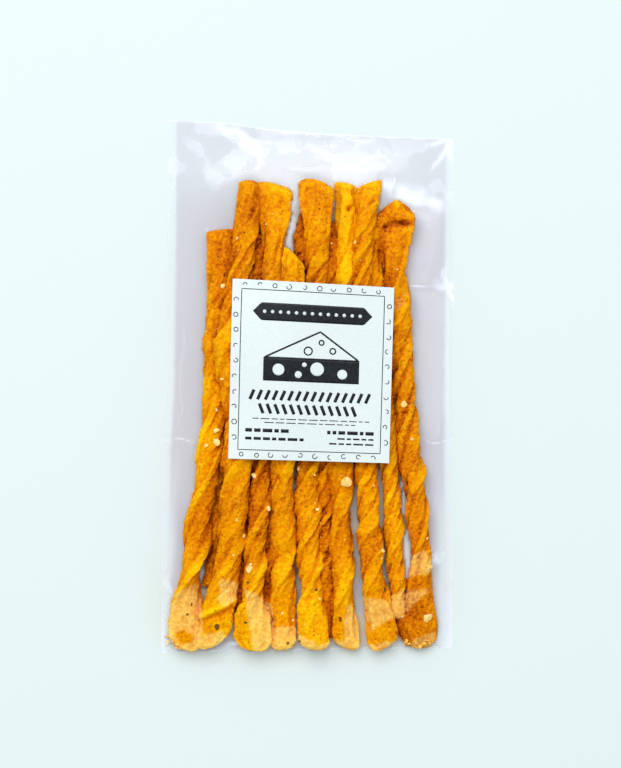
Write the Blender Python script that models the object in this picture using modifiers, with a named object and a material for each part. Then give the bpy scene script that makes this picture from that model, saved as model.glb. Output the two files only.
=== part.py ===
"""Bag of cheese twists: a clear sealed film bag draped over twelve baked twists and
a broken one, with a paper label.

Metres, +Z up. The bag lies on its back on the table with its label up. The origin is on the table
under the middle of the bag, +Y runs to the bag's top edge and +X to its right-hand edge.
"""
import math
from collections import namedtuple

import bmesh
import bpy
import numpy as np

MM = 0.001

# Outline of the bag: a hand-folded film sleeve, a little narrower at the top, with a sagging top edge
BAG_WIDTH = 126.8 * MM
BAG_LENGTH = 231.0 * MM
SIDE_STATIONS = (0.0, 0.38, 0.50, 1.0)
LEFT_EDGE_DRAWN_IN = (0.0 * MM, 0.4 * MM, 2.0 * MM, 3.4 * MM)
RIGHT_EDGE_DRAWN_IN = (0.8 * MM, 0.5 * MM, 0.1 * MM, 0.0 * MM)
END_STATIONS = (0.0, 0.20, 0.34, 0.50, 0.75, 1.0)
TOP_EDGE_DROP = (0.0 * MM, 1.2 * MM, 3.8 * MM, 5.6 * MM, 7.2 * MM, 8.2 * MM)
BOTTOM_EDGE_RISE = (0.0 * MM, 0.4 * MM, 0.7 * MM, 1.1 * MM, 1.7 * MM, 2.2 * MM)
RIM_THICKNESS = 1.2 * MM
FILM_CLEARANCE = 0.3 * MM
FILM_SAG = 0.026 * MM
BACK_FILM = 0.2 * MM

# Film grid: the solid keeps every second column and every third row of the grid that is draped
SOLID_COLUMNS = 64
SOLID_ROWS = 72
COLUMNS_PER_CELL = 2
ROWS_PER_CELL = 3
DRAPE_ROUNDS = 2500

# Label: paper, cut by hand, so that its corners are not quite square
LABEL_CORNERS = {
    "bottom left": (-33.8 * MM, -30.7 * MM),
    "bottom right": (35.0 * MM, -32.9 * MM),
    "top left": (-32.0 * MM, 46.2 * MM),
    "top right": (37.2 * MM, 42.4 * MM),
}
LABEL_THICKNESS = 0.3 * MM
LABEL_GAP = 0.3 * MM
LABEL_COLUMNS = 20
LABEL_ROWS = 22
LABEL_MARGIN = 3.5 * MM
STIFFNESS_ROUNDS = 140
STIFFNESS_REPEATS = 4

# Twists: strips of dough, twisted and baked, with a flared paddle at both ends. They stand in the
# order in which they are laid, in millimetres. route is a twist's x at the eight ROUTE_HEIGHTS,
# widths its breadth at the foot, low and high on the body and at the head, thickness that of its
# middle low and high on the body, crest a height where it stands on edge, calm the stretches at foot
# and head over which its turning dies away, tips the lengths over which its two ends round off, and
# slant how much higher the right corner of each end is than its left.
ROUTE_HEIGHTS = (-115, -92, -75, -49, -23, 20, 54, 89)
Twist = namedtuple("Twist", "name foot head route widths thickness half_turn crest curl calm tips slant")
TWISTS = (
    Twist("back_left", -104.0, 77.0, (-17.0, -17.4, -17.2, -16.9, -13.0, -5.5, -2.8, 4.0),
          (9.5, 9.0, 8.5, 9.5), (6.8, 6.8), 21.5, -74.5, 0.05, (20, 26), (4, 6), (0, 0)),
    Twist("back_mid", -109.0, 71.0, (7.5, 7.5, 7.5, 7.1, 7.5, 8.4, 9.4, 9.8),
          (9.5, 9.0, 8.5, 8.5), (6.8, 6.8), 21.5, -57.5, -0.04, (20, 26), (4, 5), (0, 0)),
    Twist("back_right", -100.5, 66.5, (39.0, 39.1, 37.8, 36.6, 34.6, 31.2, 28.2, 27.7),
          (8.6, 8.4, 8.2, 8.4), (7.2, 7.4), 20.5, -46.0, 0.04, (20, 26), (4, 4), (0, 0)),
    Twist("back_outer", -97.0, 61.0, (-29.4, -29.0, -28.0, -26.2, -25.2, -24.4, -22.2, -21.0),
          (8.8, 8.6, 8.2, 8.6), (6.4, 6.4), 23.0, -66.0, 0.04, (20, 24), (4, 5), (1, 0)),
    Twist("broken", -86.0, -26.0, (-43.0, -42.6, -40.6, -38.8, -38.0, -38.0, -38.0, -38.0),
          (7.6, 8.0, 7.6, 7.2), (6.4, 6.4), 22.0, -62.0, 0.04, (8, 8), (3, 3), (2, -2)),
    Twist("far_left", -113.5, 67.8, (-53.4, -52.0, -49.2, -45.2, -41.0, -38.9, -37.2, -37.2),
          (13.4, 12.8, 10.2, 12.6), (7.8, 10.4), 37.5, -43.0, 0.10, (24, 26), (8, 1.5), (-2.5, 0)),
    Twist("short", -113.8, 57.0, (-10.5, -10.6, -10.6, -11.2, -10.5, -8.8, -5.8, -4.0),
          (11.6, 11.0, 9.8, 9.5), (8.6, 9.2), 35.0, -75.5, -0.06, (24, 20), (5.5, 2.5), (0, -6)),
    Twist("far_right", -113.2, 79.3, (46.8, 48.2, 48.6, 46.9, 43.4, 40.2, 37.6, 38.4),
          (18.0, 10.2, 9.6, 19.6), (7.8, 9.8), 26.0, -69.0, 0.08, (44, 54), (11, 12), (-6, 1)),
    Twist("right", -113.0, 88.0, (34.2, 29.6, 27.6, 26.0, 25.2, 23.6, 23.6, 27.0),
          (12.6, 10.6, 8.4, 10.8), (8.4, 9.0), 21.5, -58.5, 0.05, (24, 28), (7, 2.5), (5, 1.5)),
    Twist("left", -112.7, 89.0, (-42.3, -37.6, -33.8, -31.3, -29.9, -33.8, -28.0, -25.0),
          (14.8, 11.8, 10.8, 10.4), (10.4, 9.2), 34.5, -42.5, 0.08, (26, 40), (7, 3), (2, -0.5)),
    Twist("mid_right", -113.3, 88.0, (17.0, 15.7, 14.8, 14.2, 14.8, 15.9, 16.8, 16.9),
          (11.8, 11.2, 10.0, 10.5), (7.6, 7.8), 34.5, -52.0, 0.06, (24, 30), (5, 2.5), (-2, 0)),
    Twist("middle", -113.5, 89.2, (3.0, 2.2, 0.9, 0.0, 0.2, 2.4, 4.0, 3.7),
          (14.0, 10.8, 9.8, 14.2), (8.8, 9.8), 23.0, -63.0, -0.05, (22, 33), (5, 5), (0, -0.8)),
    Twist("mid_left", -114.0, 87.7, (-23.6, -23.5, -22.6, -20.6, -19.5, -17.0, -14.6, -14.5),
          (17.2, 10.2, 9.4, 14.6), (7.6, 9.0), 25.5, -60.0, 0.06, (24, 56), (9, 2.5), (-3.5, -2.6)),
)
FLARE_LENGTH = 21.0 * MM
FLARE_POWER = 3
END_BLUNTNESS = 2.4
SECTION_SQUARENESS = 0.42
SECTION_RATIO = 1.35
BODY_STATIONS = (0.25, 0.60)
BELLY_REACH = (0.34, 0.76)
LIP_THICKNESS = 0.36
CURL_LEVEL = 0.4
PADDLE_THICKNESS = 5.8 * MM
END_ROWS = 14
PILE_SKIN = (420, 96)
SIDE_CONTACT = 3.0 * MM
PRESSED_IN = 1.8 * MM
BENDING_LENGTH = 13.0 * MM
BENDING_ROUNDS = 5


def ease(value):
    """Smooth step from 0 to 1, with level ends."""
    value = np.clip(value, 0.0, 1.0)
    return value * value * (3.0 - 2.0 * value)


def side_edges(v):
    """X of the left and right edge of the bag at height v, from 0 at the bottom to 1 at the top."""
    left = -BAG_WIDTH / 2 + np.interp(v, SIDE_STATIONS, LEFT_EDGE_DRAWN_IN)
    right = BAG_WIDTH / 2 - np.interp(v, SIDE_STATIONS, RIGHT_EDGE_DRAWN_IN)
    return left, right


def end_edges(u):
    """Y of the bottom and top edge of the bag at place u, from 0 at the left to 1 at the right."""
    bottom = -BAG_LENGTH / 2 + np.interp(u, END_STATIONS, BOTTOM_EDGE_RISE)
    top = BAG_LENGTH / 2 - np.interp(u, END_STATIONS, TOP_EDGE_DROP)
    return bottom, top


def bag_place(u, v):
    """Place on the table of a point of the film, by sliding each edge's place across to the other."""
    left, right = side_edges(v)
    bottom, top = end_edges(u)
    return left + (right - left) * u, bottom + (top - bottom) * v


def bag_coordinates(x, y):
    """Inverse of bag_place. The outline is nearly a rectangle, so a few substitutions settle it."""
    u = x / BAG_WIDTH + 0.5
    v = y / BAG_LENGTH + 0.5
    for _ in range(5):
        left, right = side_edges(v)
        bottom, top = end_edges(u)
        u = (x - left) / (right - left)
        v = (y - bottom) / (top - bottom)
    return u, v


def grid_cell(x, y, shape):
    """Row and column of the film grid's nearest point."""
    u, v = bag_coordinates(x, y)
    row = np.clip(np.rint(v * (shape[0] - 1)), 0, shape[0] - 1).astype(int)
    column = np.clip(np.rint(u * (shape[1] - 1)), 0, shape[1] - 1).astype(int)
    return row, column


def smooth_through(places, values, at):
    """Smooth curve through the given values: cubic pieces, with the slope of the neighbours' chord."""
    places, values = np.asarray(places, dtype=float), np.asarray(values, dtype=float)
    slopes = np.gradient(values, places)
    i = np.clip(np.searchsorted(places, at) - 1, 0, len(places) - 2)
    span = places[i + 1] - places[i]
    share = np.clip((at - places[i]) / span, 0.0, 1.0)
    straight = values[i] + (values[i + 1] - values[i]) * ease(share)
    return straight + share * (1 - share) * span * ((1 - share) * slopes[i] - share * slopes[i + 1])


def section_round(columns):
    """Across and up, from -1 to 1, of evenly spaced points round the strip's section: a superellipse
    that keeps its full height in the middle and thins to a lip along both sides."""
    angle = np.linspace(0.0, 2 * math.pi, 4001)
    across = np.sign(np.cos(angle)) * np.abs(np.cos(angle)) ** SECTION_SQUARENESS
    up = np.sign(np.sin(angle)) * np.abs(np.sin(angle)) ** SECTION_SQUARENESS
    to_lip = ease((np.abs(across) - BELLY_REACH[0]) / (BELLY_REACH[1] - BELLY_REACH[0]))
    up = up * (1.0 - (1.0 - LIP_THICKNESS) * to_lip)
    step = np.hypot(np.diff(across) * SECTION_RATIO, np.diff(up))
    walked = np.concatenate(((0.0,), np.cumsum(step)))
    even = np.linspace(0.0, walked[-1], columns, endpoint=False)
    return np.interp(even, walked, across), np.interp(even, walked, up)


def turn_at(twist, y):
    """Angle of the strip's broad side at height y: upright at the crest, and less the further up."""
    return math.pi / 2 + math.pi * (twist.crest * MM - y) / (twist.half_turn * MM)


def turning(twist, y):
    """Angle of the strip at height y: it turns evenly, and slows down near each end to lie flat there,
    by a cubic that starts at the even rate and ends level at the nearest whole half turn."""
    turn = turn_at(twist, y)
    for tip, calm, outward in ((twist.foot, twist.calm[0], -1), (twist.head, twist.calm[1], 1)):
        start = (tip - outward * calm) * MM
        share = np.clip((y - start) * outward / (calm * MM), 0.0, 1.0)
        begin = turn_at(twist, start)
        lead = -outward * math.pi * calm / twist.half_turn
        flat = math.pi * round((begin + lead / 2) / math.pi)
        eased = begin + (flat - begin) * ease(share) + lead * share * (1 - share) ** 2
        turn = np.where(share > 0, eased, turn)
    return turn


def twist_skin(twist):
    """Points of a twist's skin, with rows along it and columns round it, and its axis at height 0.

    The section is full in the middle, with a thinner lip along both sides, and curled like a gutter. It
    turns clockwise on its way up, flares towards both ends, lies flat there, and closes with a round
    curve, which slants.
    """
    rows, columns = PILE_SKIN
    length = (twist.head - twist.foot) * MM
    quarter = 1.0 - np.cos(np.linspace(0.0, math.pi / 2, END_ROWS))
    foot_tip, head_tip = twist.tips[0] * MM, twist.tips[1] * MM
    body = np.linspace(foot_tip, length - head_tip, rows)[1:-1]
    distance = np.concatenate((foot_tip * quarter, body, length - head_tip * quarter[::-1]))[:, None]
    station = distance / length
    across, up = (line[None, :] for line in section_round(columns))

    foot_flare = np.exp(-(distance / FLARE_LENGTH) ** FLARE_POWER)
    head_flare = np.exp(-((length - distance) / FLARE_LENGTH) ** FLARE_POWER)
    foot_width, low_width, high_width, head_width = (width * MM for width in twist.widths)
    body_width = np.interp(station, BODY_STATIONS, (low_width, high_width))
    width = body_width + (foot_width - body_width) * foot_flare + (head_width - body_width) * head_flare
    low_thickness, high_thickness = (thickness * MM for thickness in twist.thickness)
    thickness = np.interp(station, BODY_STATIONS, (low_thickness, high_thickness))
    thickness = thickness + (PADDLE_THICKNESS - thickness) * (foot_flare + head_flare)
    to_full = 1.0 - np.clip(np.minimum(distance / foot_tip, (length - distance) / head_tip), 0.0, 1.0)
    closing = (1.0 - to_full ** END_BLUNTNESS) ** (1.0 / END_BLUNTNESS)
    section_x = width / 2 * closing * across
    section_z = thickness / 2 * closing * up
    section_z = section_z + twist.curl * width * closing * (across ** 2 - CURL_LEVEL)
    y = twist.foot * MM + distance
    turn = turning(twist, y)

    axis_x = smooth_through(ROUTE_HEIGHTS, twist.route, y / MM) * MM
    aside = section_x * np.cos(turn) - section_z * np.sin(turn)
    y = y + (twist.slant[0] * foot_flare + twist.slant[1] * head_flare) * MM * aside / width
    x = axis_x + aside
    z = section_x * np.sin(turn) + section_z * np.cos(turn)
    return np.stack((x, y, z), axis=-1), distance[:, 0]


def resting_curve(distance, needed):
    """Height of a twist's axis all along it, where it lies on the needed heights and bends a little.

    The needed heights are averaged under a bell curve, raised where that falls short of them, and
    averaged again, a few times. At last the whole curve is lifted until it clears them all.
    """
    even = np.arange(distance[0], distance[-1], 1.0 * MM)
    floor = np.interp(even, distance, needed)
    reach = np.arange(-3 * BENDING_LENGTH, 3 * BENDING_LENGTH, 1.0 * MM)
    bell = np.exp(-(reach / BENDING_LENGTH) ** 2)
    curve = floor
    for _ in range(BENDING_ROUNDS):
        wide = np.pad(np.maximum(curve, floor), (len(bell) // 2, (len(bell) - 1) // 2), mode="edge")
        curve = np.convolve(wide, bell / bell.sum(), mode="valid")
    return np.interp(distance, even, curve + np.maximum(floor - curve, 0.0).max())


def pile_of_twists(shape):
    """Top of the pile over the film grid, with each twist laid on the table and on those before it.

    Twists that only brush past each other, side by side, do not lift each other: the outermost
    strip of each, SIDE_CONTACT wide, carries nothing. Where one lies on another, the film presses
    their brittle edges a little into each other.
    """
    pile = np.zeros(shape)
    carrying = np.zeros(shape)
    for twist in TWISTS:
        skin, distance = twist_skin(twist)
        x, y, z = skin[..., 0], skin[..., 1], skin[..., 2]
        row, column = grid_cell(x, y, shape)
        from_side = np.minimum(x - x.min(axis=1, keepdims=True), x.max(axis=1, keepdims=True) - x)
        bears = from_side > np.minimum(SIDE_CONTACT, from_side.max(axis=1, keepdims=True) / 2)
        below = np.where(bears, np.maximum(carrying[row, column] - PRESSED_IN, 0.0), 0.0)
        top = z + resting_curve(distance, (below + BACK_FILM - z).max(axis=1))[:, None]
        np.maximum.at(pile, (row, column), top)
        np.maximum.at(carrying, (row[bears], column[bears]), top[bears])
    return pile


def smoothed(height, rounds):
    """Heights averaged with their neighbours, again and again, with the border repeated outwards."""
    for _ in range(rounds):
        wide = np.pad(height, 1, mode="edge")
        sides = wide[:-2, 1:-1] + wide[2:, 1:-1] + wide[1:-1, :-2] + wide[1:-1, 2:]
        height = (4 * height + sides) / 8
    return height


def draped(obstacle):
    """Slack film over an obstacle: it rests on it, or hangs FILM_SAG below its neighbours' mean."""
    film = np.maximum(obstacle, RIM_THICKNESS)
    film[0, :] = film[-1, :] = RIM_THICKNESS
    film[:, 0] = film[:, -1] = RIM_THICKNESS
    held_up = film[1:-1, 1:-1].copy()
    for _ in range(DRAPE_ROUNDS):
        mean = (film[:-2, 1:-1] + film[2:, 1:-1] + film[1:-1, :-2] + film[1:-1, 2:]) / 4
        film[1:-1, 1:-1] = np.maximum(mean - FILM_SAG, held_up)
    return film


def label_place(s, t):
    """Place over the table of a point of the label, from its four corners."""
    weights = {
        "bottom left": (1 - s) * (1 - t),
        "bottom right": s * (1 - t),
        "top left": (1 - s) * t,
        "top right": s * t,
    }
    x = sum(weight * LABEL_CORNERS[name][0] for name, weight in weights.items())
    y = sum(weight * LABEL_CORNERS[name][1] for name, weight in weights.items())
    return x, y


def under_label(x, y):
    """True where a point lies under the label or within its margin."""
    left = min(corner[0] for corner in LABEL_CORNERS.values()) - LABEL_MARGIN
    right = max(corner[0] for corner in LABEL_CORNERS.values()) + LABEL_MARGIN
    low = LABEL_CORNERS["bottom left"], LABEL_CORNERS["bottom right"]
    high = LABEL_CORNERS["top left"], LABEL_CORNERS["top right"]
    bottom = np.interp(x, (low[0][0], low[1][0]), (low[0][1], low[1][1])) - LABEL_MARGIN
    top = np.interp(x, (high[0][0], high[1][0]), (high[0][1], high[1][1])) + LABEL_MARGIN
    return (x > left) & (x < right) & (y > bottom) & (y < top)


def film_and_label():
    """Heights of the film grid, and of the label's underside over the same grid.

    The label is paper stuck to the film: a stiff smooth sheet over the tops of the twists. The film
    below it follows it at a gap, and hangs from the label's edges everywhere else.
    """
    shape = (SOLID_ROWS * ROWS_PER_CELL + 1, SOLID_COLUMNS * COLUMNS_PER_CELL + 1)
    obstacle = pile_of_twists(shape) + FILM_CLEARANCE
    loose_film = draped(obstacle)
    sheet = smoothed(loose_film, STIFFNESS_ROUNDS)
    for _ in range(STIFFNESS_REPEATS):
        sheet = smoothed(np.maximum(sheet, loose_film), STIFFNESS_ROUNDS)
    v, u = np.meshgrid(np.linspace(0, 1, shape[0]), np.linspace(0, 1, shape[1]), indexing="ij")
    covered = under_label(*bag_place(u, v))
    sheet = sheet + (loose_film - sheet)[covered].max()
    film = draped(np.where(covered, sheet, obstacle))
    film[covered] = sheet[covered]
    return film, sheet + LABEL_GAP


def material(name, colour, roughness):
    """Principled material with a plain colour, given in linear light."""
    made = bpy.data.materials.new(name)
    made.use_nodes = True
    shader = made.node_tree.nodes["Principled BSDF"]
    shader.inputs["Base Color"].default_value = (*colour, 1.0)
    shader.inputs["Roughness"].default_value = roughness
    shader.inputs["Metallic"].default_value = 0.0
    return made


def object_from(name, mesh_data, look, collection):
    """New object in the collection, with its mesh taken from a bmesh."""
    mesh = bpy.data.meshes.new(name)
    mesh_data.to_mesh(mesh)
    mesh_data.free()
    mesh.materials.append(look)
    mesh.shade_smooth()
    mesh.set_sharp_from_angle(angle=math.radians(50))
    made = bpy.data.objects.new(name, mesh)
    collection.objects.link(made)
    return made


def make_bag(film, collection):
    """Closed solid: the draped film on top, a thin rim round the outline, and a flat back."""
    mesh_data = bmesh.new()
    bmesh.ops.create_grid(mesh_data, x_segments=SOLID_COLUMNS, y_segments=SOLID_ROWS, size=1.0)
    for vertex in mesh_data.verts:
        u, v = (vertex.co.x + 1) / 2, (vertex.co.y + 1) / 2
        row = round(v * SOLID_ROWS) * ROWS_PER_CELL
        column = round(u * SOLID_COLUMNS) * COLUMNS_PER_CELL
        x, y = bag_place(u, v)
        vertex.co = (float(x), float(y), float(film[row, column]))
    border = [edge for edge in mesh_data.edges if edge.is_boundary]
    skirt = bmesh.ops.extrude_edge_only(mesh_data, edges=border)["geom"]
    for vertex in (item for item in skirt if isinstance(item, bmesh.types.BMVert)):
        vertex.co.z = 0.0
    foot = [item for item in skirt if isinstance(item, bmesh.types.BMEdge) and item.is_boundary]
    back = bmesh.ops.contextual_create(mesh_data, geom=foot)["faces"]
    bmesh.ops.poke(mesh_data, faces=back)
    bmesh.ops.recalc_face_normals(mesh_data, faces=mesh_data.faces)
    film_over_twists = material("clear film over baked twists", (0.80, 0.36, 0.02), 0.20)
    return object_from("bag", mesh_data, film_over_twists, collection)


def make_label(underside, collection):
    """Paper plate that follows the smooth sheet over the twists, thickened upwards."""
    mesh_data = bmesh.new()
    bmesh.ops.create_grid(mesh_data, x_segments=LABEL_COLUMNS, y_segments=LABEL_ROWS, size=1.0)
    for vertex in mesh_data.verts:
        x, y = label_place((vertex.co.x + 1) / 2, (vertex.co.y + 1) / 2)
        row, column = grid_cell(np.array(x), np.array(y), underside.shape)
        vertex.co = (float(x), float(y), float(underside[row, column]))
    paper = object_from("label", mesh_data, material("white paper", (0.85, 0.92, 0.94), 0.60), collection)
    thick = paper.modifiers.new("thickness", "SOLIDIFY")
    thick.thickness = LABEL_THICKNESS
    thick.offset = 1.0
    return paper


def main():
    for old in list(bpy.data.objects):
        bpy.data.objects.remove(old)
    collection = bpy.data.collections.new("bag of cheese twists")
    bpy.context.scene.collection.children.link(collection)
    film, underside = film_and_label()
    make_bag(film, collection)
    make_label(underside, collection)


main()
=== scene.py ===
"""Looks of the bag of cheese twists: baked dough, crumbs, clear film, printed paper label, light and camera.

Metres, +Z up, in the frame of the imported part. The bag lies on its back with the label up.
"""
import math
from collections import namedtuple
from itertools import product

import bpy
import numpy as np
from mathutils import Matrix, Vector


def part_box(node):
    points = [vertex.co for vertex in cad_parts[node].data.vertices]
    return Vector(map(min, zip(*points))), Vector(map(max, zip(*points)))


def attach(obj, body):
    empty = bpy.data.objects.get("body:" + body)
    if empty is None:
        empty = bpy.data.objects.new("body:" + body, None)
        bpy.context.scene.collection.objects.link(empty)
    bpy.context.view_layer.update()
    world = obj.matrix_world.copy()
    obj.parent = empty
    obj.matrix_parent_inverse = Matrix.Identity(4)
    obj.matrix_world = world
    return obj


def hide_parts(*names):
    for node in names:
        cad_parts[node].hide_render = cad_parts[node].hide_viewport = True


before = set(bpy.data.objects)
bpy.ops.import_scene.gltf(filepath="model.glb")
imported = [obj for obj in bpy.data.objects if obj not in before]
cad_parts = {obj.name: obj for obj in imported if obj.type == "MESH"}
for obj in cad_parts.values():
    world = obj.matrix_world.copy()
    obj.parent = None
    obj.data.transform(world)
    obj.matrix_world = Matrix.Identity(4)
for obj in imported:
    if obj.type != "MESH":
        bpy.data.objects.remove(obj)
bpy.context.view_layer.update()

MM = 0.001
BAG_LOW, BAG_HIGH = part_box("bag")
BAG_WIDTH = BAG_HIGH.x - BAG_LOW.x
BAG_LENGTH = BAG_HIGH.y - BAG_LOW.y

# Outline of the bag, as in the part: a film sleeve, narrower at the top, with a sagging top edge
SIDE_STATIONS = (0.0, 0.38, 0.50, 1.0)
LEFT_EDGE_DRAWN_IN = (0.0 * MM, 0.4 * MM, 2.0 * MM, 3.4 * MM)
RIGHT_EDGE_DRAWN_IN = (0.8 * MM, 0.5 * MM, 0.1 * MM, 0.0 * MM)
END_STATIONS = (0.0, 0.20, 0.34, 0.50, 0.75, 1.0)
TOP_EDGE_DROP = (0.0 * MM, 1.2 * MM, 3.8 * MM, 5.6 * MM, 7.2 * MM, 8.2 * MM)
BOTTOM_EDGE_RISE = (0.0 * MM, 0.4 * MM, 0.7 * MM, 1.1 * MM, 1.7 * MM, 2.2 * MM)
BACK_FILM = 0.2 * MM

# Grid on which the twists find their rest, the same as in the part
PILE_SHAPE = (217, 129)
PILE_SKIN = (420, 96)

# Film: cells of 0.8 mm, a little slack, with its two sheets welded flat along both sides
FILM_SHAPE = (289, 159)
FILM_RIM = 0.35 * MM
FILM_CLEARANCE = 0.35 * MM
FILM_SAG = 0.0025 * MM
SEAM_CELLS = 3
SEAM_BAND = 2.6 * MM
DRAPE_ROUNDS = 4000

# Label: its corners as in the part, but a thinner sheet that lies closer to the film
LABEL_CORNERS = {
    "bottom left": (-33.8 * MM, -30.7 * MM),
    "bottom right": (35.0 * MM, -32.9 * MM),
    "top left": (-32.0 * MM, 46.2 * MM),
    "top right": (37.2 * MM, 42.4 * MM),
}
LABEL_WIDTH = 69.0 * MM
LABEL_HEIGHT = 76.0 * MM
LABEL_THICKNESS = 0.2 * MM
LABEL_GAP = 0.08 * MM
LABEL_SHAPE = (78, 70)
LABEL_MARGIN = 0.8 * MM
SHARP_PAPER_EDGE = 40
INK_THICKNESS = 0.02 * MM
INK_LIFT = 0.05 * MM
PALE_LIFT = 0.09 * MM
STIFFNESS_ROUNDS = 220
STIFFNESS_REPEATS = 4

# Twists, and a broken piece of one, in the order in which they are laid, in millimetres. route is its x
# at the ROUTE_HEIGHTS, widths its breadth at the foot, low and high on the body and at the head, thickness
# that of its middle low and high on the body, crest a height where it stands on edge, calm the
# stretches at foot and head over which its turning dies away, tips the lengths over which its two
# ends round off, and slant how much higher the right corner of each end is than its left.
ROUTE_HEIGHTS = (-115, -92, -75, -49, -23, 20, 54, 89)
Twist = namedtuple("Twist", "name foot head route widths thickness half_turn crest curl calm tips slant")
TWISTS = (
    Twist("back_left", -104.0, 77.0, (-17.0, -17.4, -17.2, -16.9, -13.0, -5.5, -2.8, 4.0),
          (9.5, 9.0, 8.5, 9.5), (6.8, 6.8), 21.5, -74.5, 0.05, (20, 26), (4, 6), (0, 0)),
    Twist("back_mid", -109.0, 71.0, (7.5, 7.5, 7.5, 7.1, 7.5, 8.4, 9.4, 9.8),
          (9.5, 9.0, 8.5, 8.5), (6.8, 6.8), 21.5, -57.5, -0.04, (20, 26), (4, 5), (0, 0)),
    Twist("back_right", -100.5, 66.5, (39.0, 39.1, 37.8, 36.6, 34.6, 31.2, 28.2, 27.7),
          (8.6, 8.4, 8.2, 8.4), (7.2, 7.4), 20.5, -46.0, 0.04, (20, 26), (4, 4), (0, 0)),
    Twist("back_outer", -97.0, 61.0, (-29.4, -29.0, -28.0, -26.2, -25.2, -24.4, -22.2, -21.0),
          (8.8, 8.6, 8.2, 8.6), (6.4, 6.4), 23.0, -66.0, 0.04, (20, 24), (4, 5), (1, 0)),
    Twist("broken", -86.0, -26.0, (-43.0, -42.6, -40.6, -38.8, -38.0, -38.0, -38.0, -38.0),
          (7.6, 8.0, 7.6, 7.2), (6.4, 6.4), 22.0, -62.0, 0.04, (8, 8), (3, 3), (2, -2)),
    Twist("far_left", -113.5, 67.8, (-53.4, -52.0, -49.2, -45.2, -41.0, -38.9, -37.2, -37.2),
          (13.4, 12.8, 10.2, 12.6), (7.8, 10.4), 37.5, -43.0, 0.10, (24, 26), (8, 1.5), (-2.5, 0)),
    Twist("short", -113.8, 57.0, (-10.5, -10.6, -10.6, -11.2, -10.5, -8.8, -5.8, -4.0),
          (11.6, 11.0, 9.8, 9.5), (8.6, 9.2), 35.0, -75.5, -0.06, (24, 20), (5.5, 2.5), (0, -6)),
    Twist("far_right", -113.2, 79.3, (46.8, 48.2, 48.6, 46.9, 43.4, 40.2, 37.6, 38.4),
          (18.0, 10.2, 9.6, 19.6), (7.8, 9.8), 26.0, -69.0, 0.08, (44, 54), (11, 12), (-6, 1)),
    Twist("right", -113.0, 88.0, (34.2, 29.6, 27.6, 26.0, 25.2, 23.6, 23.6, 27.0),
          (12.6, 10.6, 8.4, 10.8), (8.4, 9.0), 21.5, -58.5, 0.05, (24, 28), (7, 2.5), (5, 1.5)),
    Twist("left", -112.7, 89.0, (-42.3, -37.6, -33.8, -31.3, -29.9, -33.8, -28.0, -25.0),
          (14.8, 11.8, 10.8, 10.4), (10.4, 9.2), 34.5, -42.5, 0.08, (26, 40), (7, 3), (2, -0.5)),
    Twist("mid_right", -113.3, 88.0, (17.0, 15.7, 14.8, 14.2, 14.8, 15.9, 16.8, 16.9),
          (11.8, 11.2, 10.0, 10.5), (7.6, 7.8), 34.5, -52.0, 0.06, (24, 30), (5, 2.5), (-2, 0)),
    Twist("middle", -113.5, 89.2, (3.0, 2.2, 0.9, 0.0, 0.2, 2.4, 4.0, 3.7),
          (14.0, 10.8, 9.8, 14.2), (8.8, 9.8), 23.0, -63.0, -0.05, (22, 33), (5, 5), (0, -0.8)),
    Twist("mid_left", -114.0, 87.7, (-23.6, -23.5, -22.6, -20.6, -19.5, -17.0, -14.6, -14.5),
          (17.2, 10.2, 9.4, 14.6), (7.6, 9.0), 25.5, -60.0, 0.06, (24, 56), (9, 2.5), (-3.5, -2.6)),
)

# Section and ends of the strip, the same as in the part
FLARE_LENGTH = 21.0 * MM
FLARE_POWER = 3
END_BLUNTNESS = 2.4
SECTION_SQUARENESS = 0.42
SECTION_RATIO = 1.35
SECTION_POINTS = 4001
BODY_STATIONS = (0.25, 0.60)
BELLY_REACH = (0.34, 0.76)
LIP_THICKNESS = 0.36
CURL_LEVEL = 0.4
PADDLE_THICKNESS = 5.8 * MM
END_ROWS = 14

# How the twists rest on each other, the same as in the part
SIDE_CONTACT = 3.0 * MM
PRESSED_IN = 1.8 * MM
BENDING_LENGTH = 13.0 * MM
BENDING_ROUNDS = 5
CURVE_STEP = 1.0 * MM

# Unevenness of the strip, which only the scene has: how strong it is, and the length of its waves
TWIST_SKIN = (470, 96)
TWIST_END_ROWS = 30
LOWEST_POINT = 0.12 * MM
RISEN = 1.06
LIP_SWELLING = 0.40
LIP_WANDER = 0.8
LIP_WAVE = 13 * MM
EDGE_WANDER = 0.09
EDGE_WAVE = 9 * MM
EDGE_RAGGED = 0.035
RAGGED_WAVE = 2.4 * MM
THICKNESS_WANDER = 0.07
THICKNESS_WAVE = 8 * MM
TURN_WANDER = 0.22
TURN_WAVE = 21 * MM
TIP_SLANT = 2.0 * MM
TIP_WAVE = 40 * MM
# Twists whose head reaches higher under their neighbours than in the part, in millimetres
LONGER_HEADS = {"back_outer": 67.0}

# Toasting with painted shade and light, from 0 in deep pits to 1 on pale crests: its mean, its share of each
# millimetre of relief, which paints shade in the hollows and light on the crests, its slow changes along the
# strip, and how much darker a twist is painted, as shade, for each millimetre that it lies deep
MEAN_TOAST = 0.50
COARSE_TOAST_AND_SHADE = 0.18
FINE_TOAST_AND_SHADE = 0.42
MARK_TOAST_AND_SHADE = 0.22
SLOW_TOAST = 0.11
SLOW_TOAST_CELL = (9 * MM, 15 * MM, 9 * MM)
DEPTH_SHADE = 0.05
DEPTH_LIMITS = (-3.0, 5.0)
NEIGHBOUR_ROUNDS = 70
POLE_TOAST = 0.5
# Painted shade of the twists at the back, which lie under the others
BACK_SHADE = 0.16
# Painted shade and light across the strip, from its middle to its edge: the valley beside the lip is painted
# dark as shade, and the lip's edge is painted lighter as a highlight
SHADE_AND_LIGHT_ACROSS = (0.0, 0.40, 0.66, 0.80, 1.0), (0.02, 0.00, -0.14, 0.00, 0.10)
# Shares of a twist's length over which its relief, and its painted shade and light across, start at both ends
RELIEF_STARTS = (0.0, 0.004)
ACROSS_STARTS = (0.0625, 0.1875)
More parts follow.
